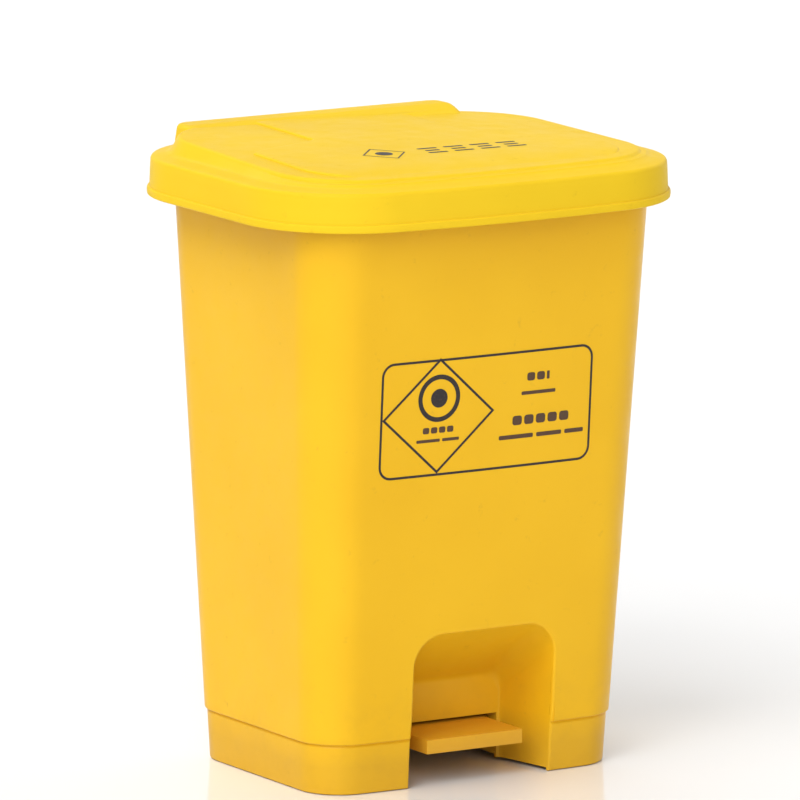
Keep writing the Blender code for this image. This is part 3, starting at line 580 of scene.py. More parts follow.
def cylinder_along(radius, start, direction, length, segments=20):
    direction = Vector(direction).normalized()
    side = direction.orthogonal().normalized()
    other = direction.cross(side)
    rings = []
    for distance in (0, length):
        ring = []
        for step in range(segments):
            angle = 2 * math.pi * step / segments
            ring.append(start + distance * direction
                        + radius * (math.cos(angle) * side + math.sin(angle) * other))
        rings.append(ring)
    return loft(rings)


def build_body(material):
    body = solid("bin_body", split_ends(body_shell()))
    panel_y = RECESS_DEPTH - STEP_FRONT
    steps = [(recess_lining(), "UNION")]
    for side in (-1, 1):
        near, far = sorted((side * CHEEK_HALF_GAP, side * (CHEEK_HALF_GAP + CHEEK_WALL)))
        cheek = block((near, panel_y - 1 * MM, 4 * MM), (far, CHEEK_BACK_Y, FLOOR_Z - 1 * MM))
        steps.append((cheek, "UNION"))
    steps.append((groove_channel(0.5 * MM, RIM_Z - 0.5 * MM, WALL), "UNION"))
    rib_top = FLOOR_Z - 1 * MM
    for x in (-SIDE_RIB_X, SIDE_RIB_X):
        low, high = (x - RIB_HALF, -60 * MM, STEP_Z + 2 * MM), (x + RIB_HALF, 72 * MM, rib_top)
        steps.append((block(low, high), "UNION"))
    for side in (-1, 1):
        for y in CROSS_RIBS_Y:
            near, far = sorted((side * 23 * MM, side * 112 * MM))
            low, high = (near, y - RIB_HALF, STEP_Z + 4 * MM), (far, y + RIB_HALF, rib_top)
            steps.append((block(low, high), "UNION"))
    for side in (-1, 1):
        for face in (-1, 1):
            reach = KNUCKLE_WIDTH / 2 + TOUCH + EAR_THICKNESS / 2
            steps.append((ear_solid(side * HINGE_X + face * reach), "UNION"))
    steps.append((recess_space(), "DIFFERENCE"))
    mouth_low = (-CHEEK_HALF_GAP, panel_y - 2 * MM, -5 * MM)
    mouth = block(mouth_low, (CHEEK_HALF_GAP, panel_y + 8 * MM, RECESS_PANEL_BOTTOM_Z))
    steps.append((mouth, "DIFFERENCE"))
    steps.append((groove_channel(-5 * MM, RIM_Z + 5 * MM), "DIFFERENCE"))
    notch_low = (-NOTCH_HALF_WIDTH, 55 * MM, -5 * MM)
    steps.append((block(notch_low, (NOTCH_HALF_WIDTH, 100 * MM, NOTCH_TOP_Z)), "DIFFERENCE"))
    steps += hinge_bores()
    axle = cylinder_x(AXLE_BORE, -60 * MM, 60 * MM, AXLE_Y, AXLE_Z)
    steps.append((axle, "DIFFERENCE"))
    for height in GUIDE_HEIGHTS:
        for side in (-1, 1):
            hole = cylinder_along(
                SCREW_HOLE, Vector((side * GUIDE_SCREW_X, 6 * MM, 0)), (0, -1, 0), 12 * MM)
            hole.transform(groove_frame(height))
            steps.append((hole, "DIFFERENCE"))
    combine(body, steps)
    return finish_piece(body, material, "bin", ["outer_body"])


# ---- lid


def lid_outline(inset):
    return rounded_outline(
        LID_HALF_WIDTH - inset,
        LID_HALF_DEPTH - LID_FRONT_CROWN - inset,
        LID_HALF_DEPTH - inset,
        LID_CORNER_RADIUS - inset,
        front_crown=LID_FRONT_CROWN,
    )


def lid_ring(inset, z):
    return lift(lid_outline(inset), z)


def panel_share(x, y):
    """0 at the panel's middle, 1 at its edge."""
    across = abs(x) / (LID_HALF_WIDTH - PANEL_INSET)
    along = abs(y) / (LID_HALF_DEPTH - PANEL_INSET)
    return (across ** 5 + along ** 5) ** 0.2


def panel_height(x, y):
    share = min(panel_share(x, y), 1.0)
    climb = (PANEL_SLOPE - PANEL_TWIST * x) * (y + LID_HALF_DEPTH - PANEL_INSET)
    return PANEL_EDGE_Z + PANEL_CROWN * (1 - share ** 2.2) + climb


def panel_ring(share, drop=0.0):
    shrunk = [point * share for point in lid_outline(PANEL_INSET)]
    return lift(shrunk, lambda x, y: panel_height(x, y) - drop)


def lid_cover():
    """The lid's shell, from its underside round the skirt and bead to the top of the panel."""
    skirt = BEAD_PROUD
    under = LID_WALL
    rings = [panel_ring(share, under) for share in (0.1, 0.3, 0.5, 0.7, 0.85, 0.94, 0.97)]
    rings += [lid_ring(*place) for place in (
        (PANEL_INSET + 0.4 * LID_WALL, PANEL_EDGE_Z - LID_WALL - 1.2 * MM),
        (LEDGE_INSET + LID_WALL + 1.2 * MM, LID_LEDGE_Z - LID_WALL + 1.6 * MM),
        (LEDGE_INSET + LID_WALL - 1 * MM, LID_LEDGE_Z - LID_WALL + 0.2 * MM),
        (skirt + 6 * MM, LID_LEDGE_Z - LID_WALL),
        (skirt + LID_WALL + 1.2 * MM, LID_LEDGE_Z - LID_WALL - 1.4 * MM),
        (skirt + LID_WALL + 0.4 * MM, LID_LEDGE_Z - 6 * MM),
        (skirt + LID_WALL - 0.6 * MM, SKIRT_BOTTOM_Z + 0.5 * MM),
        (skirt + LID_WALL - 1.1 * MM, SKIRT_BOTTOM_Z),
        (1.1 * MM, SKIRT_BOTTOM_Z),
        (0.3 * MM, SKIRT_BOTTOM_Z + 0.5 * MM),
        (0, SKIRT_BOTTOM_Z + 1.4 * MM),
        (0, BEAD_TOP_Z - 1.6 * MM),
        (0.25 * MM, BEAD_TOP_Z - 0.7 * MM),
        (0.8 * MM, BEAD_TOP_Z - 0.15 * MM),
        (skirt - 0.1 * MM, BEAD_TOP_Z),
        (skirt + 0.05 * MM, BEAD_TOP_Z + 0.6 * MM),
        (skirt + 0.4 * MM, LID_LEDGE_Z - 10 * MM),
        (skirt + 0.7 * MM, LID_LEDGE_Z - 4 * MM),
    )]
    for across, along in quarter(LID_EDGE_RADIUS, 6):
        rings.append(lid_ring(skirt + 0.8 * MM + across, LID_LEDGE_Z - along))
    rings += [lid_ring(*place) for place in (
        (LEDGE_INSET - 3.4 * MM, LID_LEDGE_Z + 1.4 * MM),
        (LEDGE_INSET - 1.8 * MM, LID_LEDGE_Z + 1.9 * MM),
        (LEDGE_INSET - 0.4 * MM, LID_LEDGE_Z + 2.6 * MM),
        (LEDGE_INSET + 0.8 * MM, LID_LEDGE_Z + 3.5 * MM),
    )]
    edge = lid_outline(PANEL_INSET)
    foot = lid_outline(LEDGE_INSET + 0.8 * MM)
    foot_z = LID_LEDGE_Z + 3.5 * MM
    for share, drop in ((0.55, 2.6), (0.66, 1.35), (0.76, 0.62), (0.86, 0.22)):
        ring = []
        for low, high in zip(foot, edge):
            point = low.lerp(high, share)
            top = panel_height(high.x, high.y) - drop * MM
            ring.append(Vector((point.x, point.y, max(top, foot_z + share * MM))))
        rings.append(ring)
    rings.append(panel_ring(1.0, 0.04 * MM))
    inwards = (0.985, 0.95, 0.9, 0.8, 0.65, 0.5, 0.35, 0.2, 0.08)
    rings += [panel_ring(share) for share in inwards]
    return loft(rings)


def hump_ring(y, half_narrowing, top, low, shrink=0.0):
    """A section across the hump, with rounded crest corners."""
    round_off = min(3.5 * MM, 0.45 * max(top - low, 0.2 * MM))
    points = []
    for sign, (crest, foot) in ((1, HUMP_RIGHT), (-1, HUMP_LEFT)):
        crest, foot = crest - half_narrowing - shrink, foot - half_narrowing - shrink
        slope = (foot - crest) / max(top - low, 1 * MM)
        end = [(sign * foot, low)]
        for step in range(6):
            share = step / 5
            x = crest + slope * round_off * (1 - share) - 1.2 * round_off * share ** 2
            rise = round_off * math.sin(math.radians(90 * share))
            end.append((sign * x, top - round_off + rise))
        points += end if sign > 0 else end[::-1]
    return [Vector((x, y, z)) for x, z in points]


def hump_solid(shrink, low_z, buried):
    """The rear hump, or the hollow under it when shrunk by the wall."""
    top_z = HUMP_TOP_Z - shrink
    sections = []
    for step in range(9):
        share = step / 8
        y = HUMP_FRONT_Y - 10 * MM + 24 * MM * share
        eased = share * share * (3 - 2 * share)
        base = PANEL_EDGE_Z + 1.0 * MM
        sections.append((y + shrink, 0, base + (HUMP_TOP_Z - base) * eased - shrink, 0))
    # The rounded back: distance from the rear, narrowing and drop in mm, and depth's share.
    for ahead, narrowing, drop, depth in (
        (9, 0.6, 0, 0.3), (7, 1.6, 0, 0.5), (4.6, 5, 0.2, 0.9), (3, 9, 0.6, 1),
        (1.7, 13.4, 1.4, 1), (0.8, 17, 2.5, 1), (0.2, 21, 3.9, 1), (0, 24, 5.2, 1),
    ):
        y = HUMP_BACK_Y - ahead * MM - shrink
        sections.append((y, narrowing * MM, top_z - drop * MM, depth))
    rings = []
    for y, narrowing, top, depth in sections:
        rings.append(hump_ring(y, narrowing, top, low_z - depth * buried, shrink))
    return loft(rings)


def pad_outline(inset):
    """The raised pad's plan: a neck at the rear that swells into the full front width."""
    neck, belly = PAD_NECK - inset, PAD_BELLY - inset
    right = [Vector((neck, 106 * MM)), Vector((neck, 66 * MM)), Vector((neck, 40 * MM))]
    for step in range(15):
        share = step / 14
        eased = share * share * (3 - 2 * share)
        y = 32 * MM - inset - 30 * MM * share
        right.append(Vector((neck + (belly - neck) * eased, y)))
    right.append(Vector((belly, -40 * MM)))
    corner = PAD_CORNER
    front = PAD_FRONT_MARGIN + inset - (LID_HALF_DEPTH - PANEL_INSET)
    turned = arc((belly - corner, front + corner), corner, 0, 9, -90)
    right += [Vector(point) for point in turned]
    right.append(Vector((belly / 3, front - 1.5 * MM)))
    return right + [Vector((-p.x, p.y)) for p in reversed(right)]


def pad_solid():
    """The pad, which sinks into the panel towards the front."""
    def height(rise):
        def at(x, y):
            fade = min(max((y + 100 * MM) / (16 * MM), 0.0), 1.0)
            eased = fade * fade * (3 - 2 * fade)
            top = panel_height(x, y) + rise * PAD_RISE * eased - 0.6 * MM * (1 - eased)
            return min(top, HUMP_TOP_Z - 0.15 * MM)

        return at

    centre = Vector((0, -22 * MM))
    rings = []
    for share in (0.1, 0.3, 0.5, 0.7, 0.85, 1.0):
        shrunk = [centre + (p - centre) * share for p in pad_outline(0)]
        rings.append(lift(shrunk, lambda x, y: panel_height(x, y) - 1.2 * MM))
    rings += [
        lift(pad_outline(0), height(0.05)),
        lift(pad_outline(0.3 * MM), height(0.55)),
        lift(pad_outline(0.9 * MM), height(0.88)),
        lift(pad_outline(1.8 * MM), height(1.0)),
    ]
    for share in (0.85, 0.7, 0.5, 0.3, 0.1):
        shrunk = [centre + (p - centre) * share for p in pad_outline(1.8 * MM)]
        rings.append(lift(shrunk, height(1.0)))
    return loft(rings)


def lug_centre(distance):
    return on_circle((HINGE_Y, HINGE_Z), distance, LUG_ANGLE)


def lug_solid():
    """The lug under the hump that the push rod's hook lifts."""
    near = Vector(lug_centre(LUG_SLOT_NEAR - 2 * MM))
    far = Vector(lug_centre(LUG_SLOT_FAR))
    radius = SLOT_HALF_WIDTH + LUG_RIM
    root_z = HUMP_TOP_Z - 1.2 * MM
    outline = [(near.x + radius + 3 * MM, root_z), (far.x + 4 * MM, root_z)]
    outline.append((far.x - radius + 1 * MM, PANEL_EDGE_Z + 2 * MM))
    for step in range(17):
        angle = math.pi + LUG_ANGLE * step / 16 * 0.75
        outline.append(on_circle(far, radius, angle))
    outline.append((near.x + radius + 1 * MM, near.y - radius * 0.4))
    return extrude_x(outline, LUG_X - LUG_THICKNESS / 2, LUG_X + LUG_THICKNESS / 2)


def build_lid(material):
    lid = solid("lid_cover", split_ends(lid_cover()))
    steps = [(pad_solid(), "UNION"), (hump_solid(0, LID_LEDGE_Z - 1 * MM, 5 * MM), "UNION")]
    steps.append((hump_solid(LID_WALL, LID_LEDGE_Z - 4 * MM, 0), "DIFFERENCE"))
    top = (HINGE_Y - 3 * MM, HUMP_TOP_Z - KNUCKLE_RADIUS - 1 * MM)
    for side in (-1, 1):
        low = side * HINGE_X - KNUCKLE_WIDTH / 2
        knuckle = capsule((HINGE_Y, HINGE_Z), top, KNUCKLE_RADIUS)
        steps.append((extrude_x(knuckle, low, low + KNUCKLE_WIDTH), "UNION"))
    for x in LID_RIBS_X:
        front, back = (panel_height(x, y) - LID_WALL / 2 for y in (-98 * MM, 90 * MM))
        rib = [(-98 * MM, 414.8 * MM), (90 * MM, 418 * MM), (90 * MM, back), (-98 * MM, front)]
        steps.append((extrude_x(rib, x - LID_RIB_HALF, x + LID_RIB_HALF), "UNION"))
    steps.append((lug_solid(), "UNION"))
    steps += hinge_bores()
    slot = capsule(lug_centre(LUG_SLOT_NEAR), lug_centre(LUG_SLOT_FAR), SLOT_HALF_WIDTH)
    slot = extrude_x(slot, LUG_X - LUG_THICKNESS, LUG_X + LUG_THICKNESS)
    steps.append((slot, "DIFFERENCE"))
    combine(lid, steps)
    return finish_piece(lid, material, "lid", ["lid_shell"])


# ---- pedal


def build_pedal(material):
    front, top = PEDAL_FRONT_Y, PEDAL_TOP_Z
    left, right = TREAD_SHIFT - PEDAL_HALF_WIDTH, TREAD_SHIFT + PEDAL_HALF_WIDTH
    tread = block((left, front, top - PEDAL_LIP), (right, AXLE_Y + 1.7 * MM, top))
    pedal = solid("pedal_moulding", tread, bevel=2.2 * MM, segments=5)
    low = (left + TREAD_WALL, front + 3.4 * MM)
    high = (right - TREAD_WALL, AXLE_Y - 4 * MM)
    hollow = block((*low, 0), (*high, top - PLATE_THICKNESS + 1 * MM))
    under = solid("tread_hollow", hollow, bevel=1.0 * MM)
    tube_half = CHEEK_HALF_GAP - 0.6 * MM
    steps = [(under, "DIFFERENCE")]
    steps.append((cylinder_x(HUB_RADIUS, -tube_half, tube_half, AXLE_Y, AXLE_Z, 48), "UNION"))
    tab_y, tab_z = rod_y(ROD_BOTTOM_Z), ROD_BOTTOM_Z
    web = [
        (AXLE_Y, AXLE_Z + 2 * MM),
        (BEAM_END_Y, tab_z + 3 * MM),
        (BEAM_END_Y, tab_z + 6.5 * MM),
        (AXLE_Y, AXLE_Z + 5.5 * MM),
    ]
    beam = solid("beam", extrude_x(web, -BEAM_HALF_WIDTH, BEAM_HALF_WIDTH), bevel=0.5 * MM)
    steps.append((beam, "UNION"))
    rib = [
        (-78 * MM, top - PLATE_THICKNESS + 2 * MM),
        (-78 * MM, top - PLATE_THICKNESS - 1 * MM),
        (-30 * MM, AXLE_Z - 3 * MM),
        (AXLE_Y, AXLE_Z - HUB_RADIUS + 1 * MM),
        (BEAM_END_Y, tab_z - 5 * MM),
        (BEAM_END_Y, tab_z + 6.5 * MM),
        (AXLE_Y, AXLE_Z + 5.5 * MM),
    ]
    for side in (-1, 1):
        near, far = sorted((side * BEAM_HALF_WIDTH, side * (BEAM_HALF_WIDTH - BEAM_RIB)))
        steps.append((solid(f"rib_{side}", extrude_x(rib, near, far), bevel=0.5 * MM), "UNION"))
    for y in (4 * MM, 24 * MM, 44 * MM):
        half = BEAM_HALF_WIDTH - 1 * MM
        cross = block((-half, y - 0.8 * MM, tab_z), (half, y + 0.8 * MM, tab_z + 7 * MM))
        steps.append((cross, "UNION"))
    tab = capsule((BEAM_END_Y - 12 * MM, tab_z + 2 * MM), (tab_y, tab_z), 6.4 * MM)
    half = LUG_THICKNESS / 2
    steps.append((extrude_x(tab, LUG_X - half, LUG_X + half), "UNION"))
    slot = capsule((tab_y - 0.3 * MM, tab_z), (tab_y + 1.7 * MM, tab_z), SLOT_HALF_WIDTH)
    steps.append((extrude_x(slot, LUG_X - 2 * half, LUG_X + 2 * half), "DIFFERENCE"))
    bore = cylinder_x(AXLE_BORE, -60 * MM, 60 * MM, AXLE_Y, AXLE_Z)
    steps.append((bore, "DIFFERENCE"))
    combine(pedal, steps)
    return finish_piece(pedal, material, "pedal", ["pedal_lever"])


# ---- liner


def liner_ring(z, inset, back_inset=None, radius=None):
    gap = WALL + LINER_GAP + inset
    back_inset = inset if back_inset is None else back_inset
    outline = rounded_outline(
        body_half_width(z) - gap,
        body_front(z) - gap,
        LINER_BACK_AT_TOP + ROD_LEAN * (z - LEDGE_Z) - back_inset,
        radius or corner_radius(z) - gap,
        front_crown=FRONT_CROWN,
    )
    return lift(outline, z)


def build_liner(material):
    base, wall = LINER_BOTTOM_Z, LINER_WALL
    flange_z = LEDGE_Z + TOUCH
    flange_top = flange_z + 2.4 * MM
    radius = RIM_CORNER_RADIUS - WALL - 1.5 * MM
    rings = [liner_ring(*place) for place in (
        (base + wall, wall + 12 * MM),
        (base + wall, wall + 5 * MM),
        (base + wall + 0.8 * MM, wall + 2 * MM),
        (base + wall + 2.4 * MM, wall + 0.5 * MM),
        (base + wall + 5 * MM, wall),
        (230 * MM, wall),
        (flange_top - 1 * MM, wall),
        (flange_top - 0.3 * MM, wall - 0.3 * MM),
        (flange_top, wall - 1 * MM),
        (flange_top, 0.7 * MM - LINER_FLANGE, 0.7 * MM - LINER_BACK_FLANGE, radius),
        (flange_top - 0.7 * MM, -LINER_FLANGE, -LINER_BACK_FLANGE, radius),
        (flange_z, -LINER_FLANGE, -LINER_BACK_FLANGE, radius),
        (flange_z, 0),
        (230 * MM, 0),
        (base + 5 * MM, 0),
        (base + 1.5 * MM, 1.2 * MM),
        (base + 0.4 * MM, 3 * MM),
        (base, 5.4 * MM),
        (base, 12 * MM),
    )]
    bucket = solid("liner_bucket", split_ends(loft(rings)))
    steps = []
    for side in (-1, 1):
        low_x = side * (BAIL_X - 4.8 * MM) - 2 * MM
        outline = capsule((0, flange_z + 4.4 * MM), (0, BAIL_PIVOT_Z), 4 * MM)
        ear = solid(f"ear_{side}", extrude_x(outline, low_x, low_x + 4 * MM), bevel=0.4 * MM)
        steps.append((ear, "UNION"))
        low, high = side * BAIL_X - 9 * MM, side * BAIL_X + 9 * MM
        steps.append((cylinder_x(BAIL_BORE, low, high, 0, BAIL_PIVOT_Z), "DIFFERENCE"))
    combine(bucket, steps)
    return finish_piece(bucket, material, "bin", ["inner_bucket"])


# ---- print


def front_surface(x, z):
    """The front wall's point at (x, z), raised by the ink's thickness."""
    return Vector((x, -(body_front(z) + front_bulge(x, z) + PRINT_FILM), z))


def lid_surface(x, y):
    rise = PAD_RISE + PRINT_FILM
    return Vector((x, y, panel_height(x, y) + rise))


def strip(bm, place, points, width, closed=True):
    """A band of ink of even width along a path in the surface's own coordinates."""
    count = len(points)
    inner, outer = [], []
    for index, point in enumerate(points):
        if closed:
            before, after = points[index - 1], points[(index + 1) % count]
        else:
            before, after = points[max(index - 1, 0)], points[min(index + 1, count - 1)]
        first, second = (point - before), (after - point)
        first = first.normalized() if first.length else second.normalized()
        second = second.normalized() if second.length else first
        normal_a, normal_b = Vector((-first.y, first.x)), Vector((-second.y, second.x))
        mitre = (normal_a + normal_b).normalized()
        reach = width / 2 / max(mitre.dot(normal_a), 0.4)
        inner.append(bm.verts.new(place(*(point + mitre * reach))))
        outer.append(bm.verts.new(place(*(point - mitre * reach))))
    last = count if closed else count - 1
    for index in range(last):
        after = (index + 1) % count
        bm.faces.new((inner[index], outer[index], outer[after], inner[after]))


def dense(points, spacing, closed=True):
    """The same path with points no further apart than `spacing`."""
    result = []
    count = len(points)
    for index in range(count if closed else count - 1):
        start, end = points[index], points[(index + 1) % count]
        pieces = max(1, int((end - start).length / spacing))
        result += [start.lerp(end, step / pieces) for step in range(pieces)]
    if not closed:
        result.append(points[-1])
    return result


def rounded_box(low, high, radius, steps=8):
    """A rectangle's path with rounded corners."""
    points = []
    for cx, cy, start in (
        (high[0] - radius, high[1] - radius, 0),
        (low[0] + radius, high[1] - radius, 90),
        (low[0] + radius, low[1] + radius, 180),
        (high[0] - radius, low[1] + radius, 270),
    ):
        points += [Vector(point) for point in arc((cx, cy), radius, start, steps)]
    return points


def bar(bm, place, centre, length, height):
    """A filled bar with rounded corners."""
    radius = min(length, height) * 0.3
    low = (centre[0] - length / 2, centre[1] - height / 2)
    high = (centre[0] + length / 2, centre[1] + height / 2)
    fan(bm, place, centre, dense(rounded_box(low, high, radius, 5), 5 * MM))


def fan(bm, place, centre, outline):
    """Fills an outline with ink from its centre."""
    middle = bm.verts.new(place(*centre))
    rim = [bm.verts.new(place(*point)) for point in outline]
    for index, vert in enumerate(rim):
        bm.faces.new((middle, vert, rim[(index + 1) % len(rim)]))


def ink_piece(name, bm, material, body):
    obj = solid(name, bm)
    obj.data.materials.append(material)
    obj.data.shade_smooth()
    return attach(obj, body)


def build_print(material, pale):
    bm = bmesh.new()
    border = dense(rounded_box(FRAME_LOW, FRAME_HIGH, FRAME_RADIUS), 6 * MM)
    strip(bm, front_surface, border, PRINT_LINE)
    cx, cz = DIAMOND_CENTRE
    across, up = DIAMOND_HALF
    corners = ((cx + across, cz), (cx, cz + up), (cx - across, cz), (cx, cz - up))
    diamond = [Vector(corner) for corner in corners]
    strip(bm, front_surface, dense(diamond, 6 * MM), PRINT_LINE)
    mark = (cx, cz + 12 * MM)
    ring = [Vector(point) for point in circle(mark, 14.5 * MM, 48)]
    strip(bm, front_surface, ring, 3.2 * MM)
    fan(bm, front_surface, mark, circle(mark, 6.4 * MM, 28))
    ink_piece("front_print_frame", bm, material, "bin")

    # Each row's centre, height above the floor, bar height, gap and bar lengths, in mm.
    rows = bmesh.new()
    for centre_x, z, height, gap, lengths in (
        (37, 275.4, 5.6, 1.6, (6.2, 6.2, 2.2)),
        (37.5, 264.4, 2.4, 0, (27,)),
        (40, 246.2, 6.4, 1.9, (7.4, 7.4, 7.4, 7.4, 7.4)),
        (41, 235.2, 2.9, 2.6, (27, 20, 15)),
        (cx / MM, 245.4, 4.2, 1.3, (4.9, 4.9, 4.9, 4.9)),
        (cx / MM, 238.4, 2.1, 1.8, (18, 13)),
    ):
        start = centre_x - (sum(lengths) + gap * (len(lengths) - 1)) / 2
        for length in lengths:
            centre = ((start + length / 2) * MM, z * MM)
            bar(rows, front_surface, centre, length * MM, height * MM)
            start += length + gap
    ink_piece("front_print_rows", rows, pale, "bin")

    top = bmesh.new()
    corners = ((-28, -38), (-44, -20), (-60, -38), (-44, -56))
    small = [Vector(corner) * MM for corner in corners]
    strip(top, lid_surface, dense(small, 4 * MM), 1.1 * MM)
    mark = (-44 * MM, -38 * MM)
    fan(top, lid_surface, mark, circle(mark, 6 * MM, 28))
    for index in range(4):
        middle = (-7 + 20.6 * index) * MM
        for y, length in ((-32, 15), (-39.5, 11), (-47, 15)):
            bar(top, lid_surface, (middle, y * MM), length * MM, 3.0 * MM)
    ink_piece("lid_print", top, material, "lid")


# ---- materials


def node_material(name):
    """A new material with its node tree, its shader and the object's coordinates."""
    made = bpy.data.materials.new(name)
    made.use_nodes = True
    tree = made.node_tree
    where = tree.nodes.new("ShaderNodeTexCoord").outputs["Object"]
    return made, tree, tree.nodes["Principled BSDF"], where


def noise(tree, coordinates, scale, detail=3.0, roughness=0.55):
    node = tree.nodes.new("ShaderNodeTexNoise")
    node.inputs["Scale"].default_value = scale
    node.inputs["Detail"].default_value = detail
    node.inputs["Roughness"].default_value = roughness
    tree.links.new(coordinates, node.inputs["Vector"])
    return node.outputs["Fac"]


def ramp(tree, value, low, high, to_low=0.0, to_high=1.0):
    """Maps low..high to to_low..to_high, clamped."""
    node = tree.nodes.new("ShaderNodeMapRange")
    node.inputs["From Min"].default_value = low
    node.inputs["From Max"].default_value = high
    node.inputs["To Min"].default_value = to_low
    node.inputs["To Max"].default_value = to_high
    tree.links.new(value, node.inputs["Value"])
    return node.outputs["Result"]


def mix(tree, factor, first, second):
    """Blends two colours, each a plain colour or a socket."""
    node = tree.nodes.new("ShaderNodeMix")
    node.data_type = "RGBA"
    inputs = [s for s in node.inputs if s.type == "RGBA"]
    for socket, value in zip(inputs, (first, second)):
        if isinstance(value, bpy.types.NodeSocket):
            tree.links.new(value, socket)
        else:
            socket.default_value = (*value, 1.0)
    tree.links.new(factor, node.inputs["Factor"])
    return [s for s in node.outputs if s.type == "RGBA"][0]


def multiply(tree, first, second):
    node = tree.nodes.new("ShaderNodeMath")
    node.operation = "MULTIPLY"
    for socket, value in zip(node.inputs, (first, second)):
        if isinstance(value, bpy.types.NodeSocket):
            tree.links.new(value, socket)
        else:
            socket.default_value = value
    return node.outputs[0]


def bump(tree, shader, *layers):
    """Stacks (height, distance in metres, strength) layers on the shader's normal."""
    normal = None
    for height, distance, strength in layers:
        node = tree.nodes.new("ShaderNodeBump")
        node.inputs["Distance"].default_value = distance
        node.inputs["Strength"].default_value = strength
        tree.links.new(height, node.inputs["Height"])
        if normal:
            tree.links.new(normal, node.inputs["Normal"])
        normal = node.outputs["Normal"]
    tree.links.new(normal, shader.inputs["Normal"])


def moulded_plastic(name, colour, tint, scuff_and_shade, roughness, gloss=0.2, dirt_below_and_plinth_shade=None):
    """Moulded plastic with slight colour drift, fine grain, faint scuffs, dirt low down and
    painted shade darkening the plinth.
    """
    made, tree, shader, where = node_material(name)
    drift = ramp(tree, noise(tree, where, 9.0, 2.0), 0.35, 0.65)
    base = mix(tree, drift, colour, tint)
    marks = ramp(tree, noise(tree, where, 120.0, 8.0, 0.7), 0.62, 0.75, 0.0, 0.5)
    base = mix(tree, marks, base, scuff_and_shade)
    if dirt_below_and_plinth_shade:
        split = tree.nodes.new("ShaderNodeSeparateXYZ")
        tree.links.new(where, split.inputs["Vector"])
        low = ramp(tree, split.outputs["Z"], dirt_below_and_plinth_shade, 0.0)
        patches = ramp(tree, noise(tree, where, 45.0, 6.0, 0.65), 0.45, 0.75, 0.0, 0.4)
        base = mix(tree, multiply(tree, low, patches), base, scuff_and_shade)
        # Painted shade: the plinth, below the step, is painted darker towards the scuff colour.
        above, below = STEP_Z + 4 * MM, STEP_Z - 16 * MM
        plinth = ramp(tree, split.outputs["Z"], above, below, 0.0, 0.5)
        base = mix(tree, plinth, base, scuff_and_shade)
    tree.links.new(base, shader.inputs["Base Color"])
    cloud = noise(tree, where, 60.0, 5.0)
    rough = ramp(tree, cloud, 0.3, 0.7, roughness - 0.05, roughness + 0.07)
    tree.links.new(rough, shader.inputs["Roughness"])
    shader.inputs["Specular IOR Level"].default_value = gloss
    bump(
        tree, shader,
        (noise(tree, where, 14.0, 1.0), 0.0012, 0.25),
        (noise(tree, where, 2400.0, 2.0), 0.00004, 0.5),
    )
    return made


def plated_steel(name, colour, roughness):
    made, tree, shader, where = node_material(name)
    cloud = ramp(tree, noise(tree, where, 90.0, 5.0), 0.35, 0.7)
    darker = tuple(channel * 0.72 for channel in colour)
    tree.links.new(mix(tree, cloud, colour, darker), shader.inputs["Base Color"])
    shader.inputs["Metallic"].default_value = 1.0
    streaks = noise(tree, where, 400.0, 4.0)
    rough = ramp(tree, streaks, 0.3, 0.7, roughness - 0.07, roughness + 0.1)
    tree.links.new(rough, shader.inputs["Roughness"])
    bump(tree, shader, (noise(tree, where, 1800.0, 2.0), 0.00003, 0.4))
    return made


def ink(name, colour):
    made, tree, shader, where = node_material(name)
    patch = ramp(tree, noise(tree, where, 700.0, 4.0), 0.55, 0.8, 0.0, 0.35)
    tree.links.new(mix(tree, patch, colour, (0.16, 0.075, 0.015)), shader.inputs["Base Color"])
    rough = ramp(tree, noise(tree, where, 300.0, 3.0), 0.3, 0.7, 0.38, 0.55)
    tree.links.new(rough, shader.inputs["Roughness"])
    bump(tree, shader, (noise(tree, where, 1500.0, 2.0), 0.00003, 0.4))
    return made


# ---- studio


def build_camera():
    """From the front left, a little above, through a long lens."""
    azimuth, elevation, roll = CAMERA_AZIMUTH, CAMERA_ELEVATION, CAMERA_ROLL
    right = Vector((math.cos(azimuth), -math.sin(azimuth), 0))
    ahead = Vector((
        math.sin(azimuth) * math.cos(elevation),
        math.cos(azimuth) * math.cos(elevation),
        -math.sin(elevation),
    ))
    up = right.cross(ahead)
    data = bpy.data.cameras.new("camera")
    data.lens = CAMERA_LENS
    data.sensor_width = SENSOR_WIDTH
    data.clip_end = 60.0
    camera = bpy.data.objects.new("camera", data)
    bpy.context.scene.collection.objects.link(camera)
    rolled_right = math.cos(roll) * right - math.sin(roll) * up
    rolled_up = math.sin(roll) * right + math.cos(roll) * up
    place = CAMERA_PLACE
    camera.matrix_world = Matrix((
        (rolled_right.x, rolled_up.x, -ahead.x, place.x),
        (rolled_right.y, rolled_up.y, -ahead.y, place.y),
        (rolled_right.z, rolled_up.z, -ahead.z, place.z),
        (0, 0, 0, 1),
    ))
    bpy.context.scene.camera = camera


def sky():
    """A pale horizon that darkens overhead, so shadows stay soft but readable."""
    world = bpy.data.worlds.new("studio")
    world.use_nodes = True
    tree = world.node_tree
    where = tree.nodes.new("ShaderNodeTexCoord").outputs["Generated"]
    split = tree.nodes.new("ShaderNodeSeparateXYZ")
    tree.links.new(where, split.inputs["Vector"])
    glow = ramp(tree, split.outputs["Z"], 0.12, 0.5, HORIZON_GLOW, OVERHEAD_GLOW)
    tree.links.new(glow, tree.nodes["Background"].inputs["Strength"])
    tree.nodes["Background"].inputs["Color"].default_value = (1.0, 1.0, 1.0, 1.0)
    bpy.context.scene.world = world


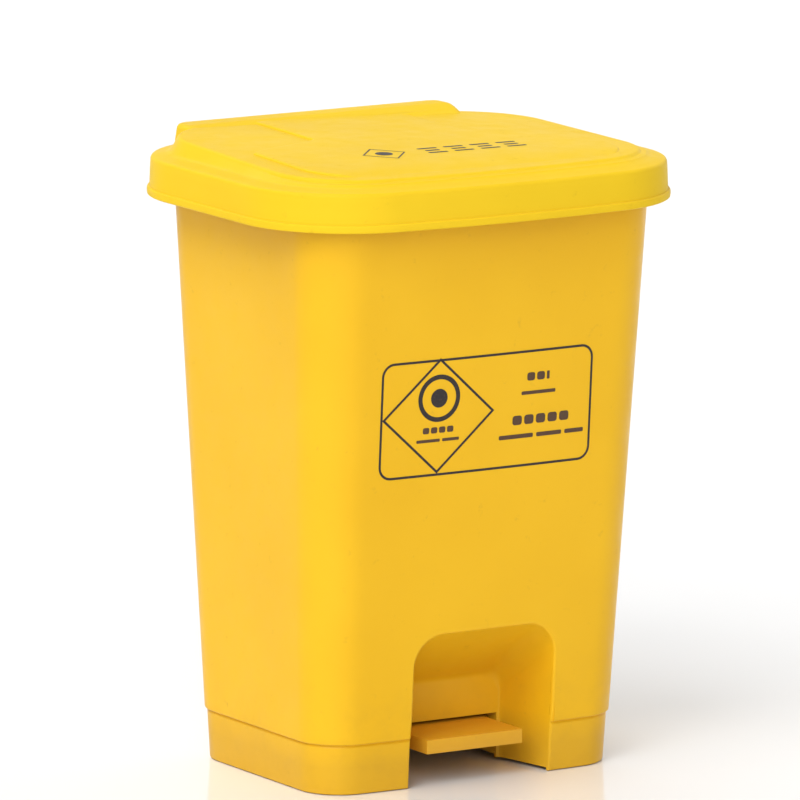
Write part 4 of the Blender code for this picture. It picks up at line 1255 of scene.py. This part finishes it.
def sun(name, bearing, height, softness, strength):
    """A broad lamp: `bearing` anticlockwise from +X, `height` above the floor, in degrees."""
    data = bpy.data.lights.new(name, "SUN")
    data.energy = math.pi * strength
    data.angle = math.radians(softness)
    lamp = bpy.data.objects.new(name, data)
    around, over = math.radians(bearing), math.radians(height)
    towards = Vector((
        math.cos(around) * math.cos(over), math.sin(around) * math.cos(over), math.sin(over)))
    lamp.rotation_euler = towards.to_track_quat("Z", "Y").to_euler()
    bpy.context.scene.collection.objects.link(lamp)


def build_studio():
    sky()
    for lamp in LAMPS:
        sun(*lamp)
    bm = bmesh.new()
    bmesh.ops.create_grid(bm, x_segments=24, y_segments=24, size=FLOOR_HALF_SIZE)
    floor = solid("floor", bm)
    floor.location.z = -FLOOR_DROP
    made, tree, shader, where = node_material("studio_floor")
    shade = ramp(tree, noise(tree, where, 3.0, 2.0), 0.3, 0.7)
    white = mix(tree, shade, (0.9, 0.9, 0.9), (0.88, 0.88, 0.88))
    tree.links.new(white, shader.inputs["Base Color"])
    shader.inputs["Roughness"].default_value = 0.09
    floor.data.materials.append(made)


def dress_frame():
    """Materials for the frame's own nodes that stay in view."""
    steel = plated_steel("zinc_plate", (0.66, 0.66, 0.63), 0.3)
    dark_steel = plated_steel("spring_steel", (0.42, 0.41, 0.39), 0.36)
    black = moulded_plastic(
        "black_nylon", (0.018, 0.018, 0.02), (0.024, 0.024, 0.026), (0.06, 0.06, 0.06), 0.42)
    looks = (
        (steel, (
            "hinge_pin_left", "hinge_pin_right", "pedal_axle", "push_rod", "bail_wire",
            "guide_screw_upper_left", "guide_screw_upper_right",
            "guide_screw_lower_left", "guide_screw_lower_right")),
        (dark_steel, ("rod_cap_top", "rod_cap_bottom", "axle_cap_left", "axle_cap_right")),
        (black, ("rod_guide_upper", "rod_guide_lower", "bail_grip")),
    )
    for look, names in looks:
        for name in names:
            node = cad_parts[name]
            for slot in node.material_slots:
                slot.material = look
            if not node.material_slots:
                node.data.materials.append(look)


def main():
    body = moulded_plastic(
        "yellow_body", (0.80, 0.46, 0.012), (0.77, 0.435, 0.010), (0.55, 0.30, 0.02), 0.38,
        dirt_below_and_plinth_shade=0.09)
    lid = moulded_plastic(
        "yellow_lid", (0.79, 0.53, 0.020), (0.76, 0.50, 0.018), (0.58, 0.36, 0.02), 0.38,
        gloss=0.04)
    tread = moulded_plastic(
        "yellow_pedal", (0.76, 0.40, 0.02), (0.72, 0.37, 0.018), (0.50, 0.26, 0.03), 0.42,
        dirt_below_and_plinth_shade=0.05)
    grey = moulded_plastic(
        "grey_liner", (0.10, 0.105, 0.11), (0.085, 0.09, 0.095), (0.17, 0.17, 0.17), 0.5)
    black_ink = ink("print_ink", (0.012, 0.006, 0.006))
    row_ink = ink("print_ink_rows", (0.07, 0.03, 0.008))

    build_body(body)
    build_lid(lid)
    build_pedal(tread)
    build_liner(grey)
    build_print(black_ink, row_ink)
    dress_frame()
    build_studio()
    build_camera()
    bpy.context.scene.view_settings.view_transform = "Standard"


main()
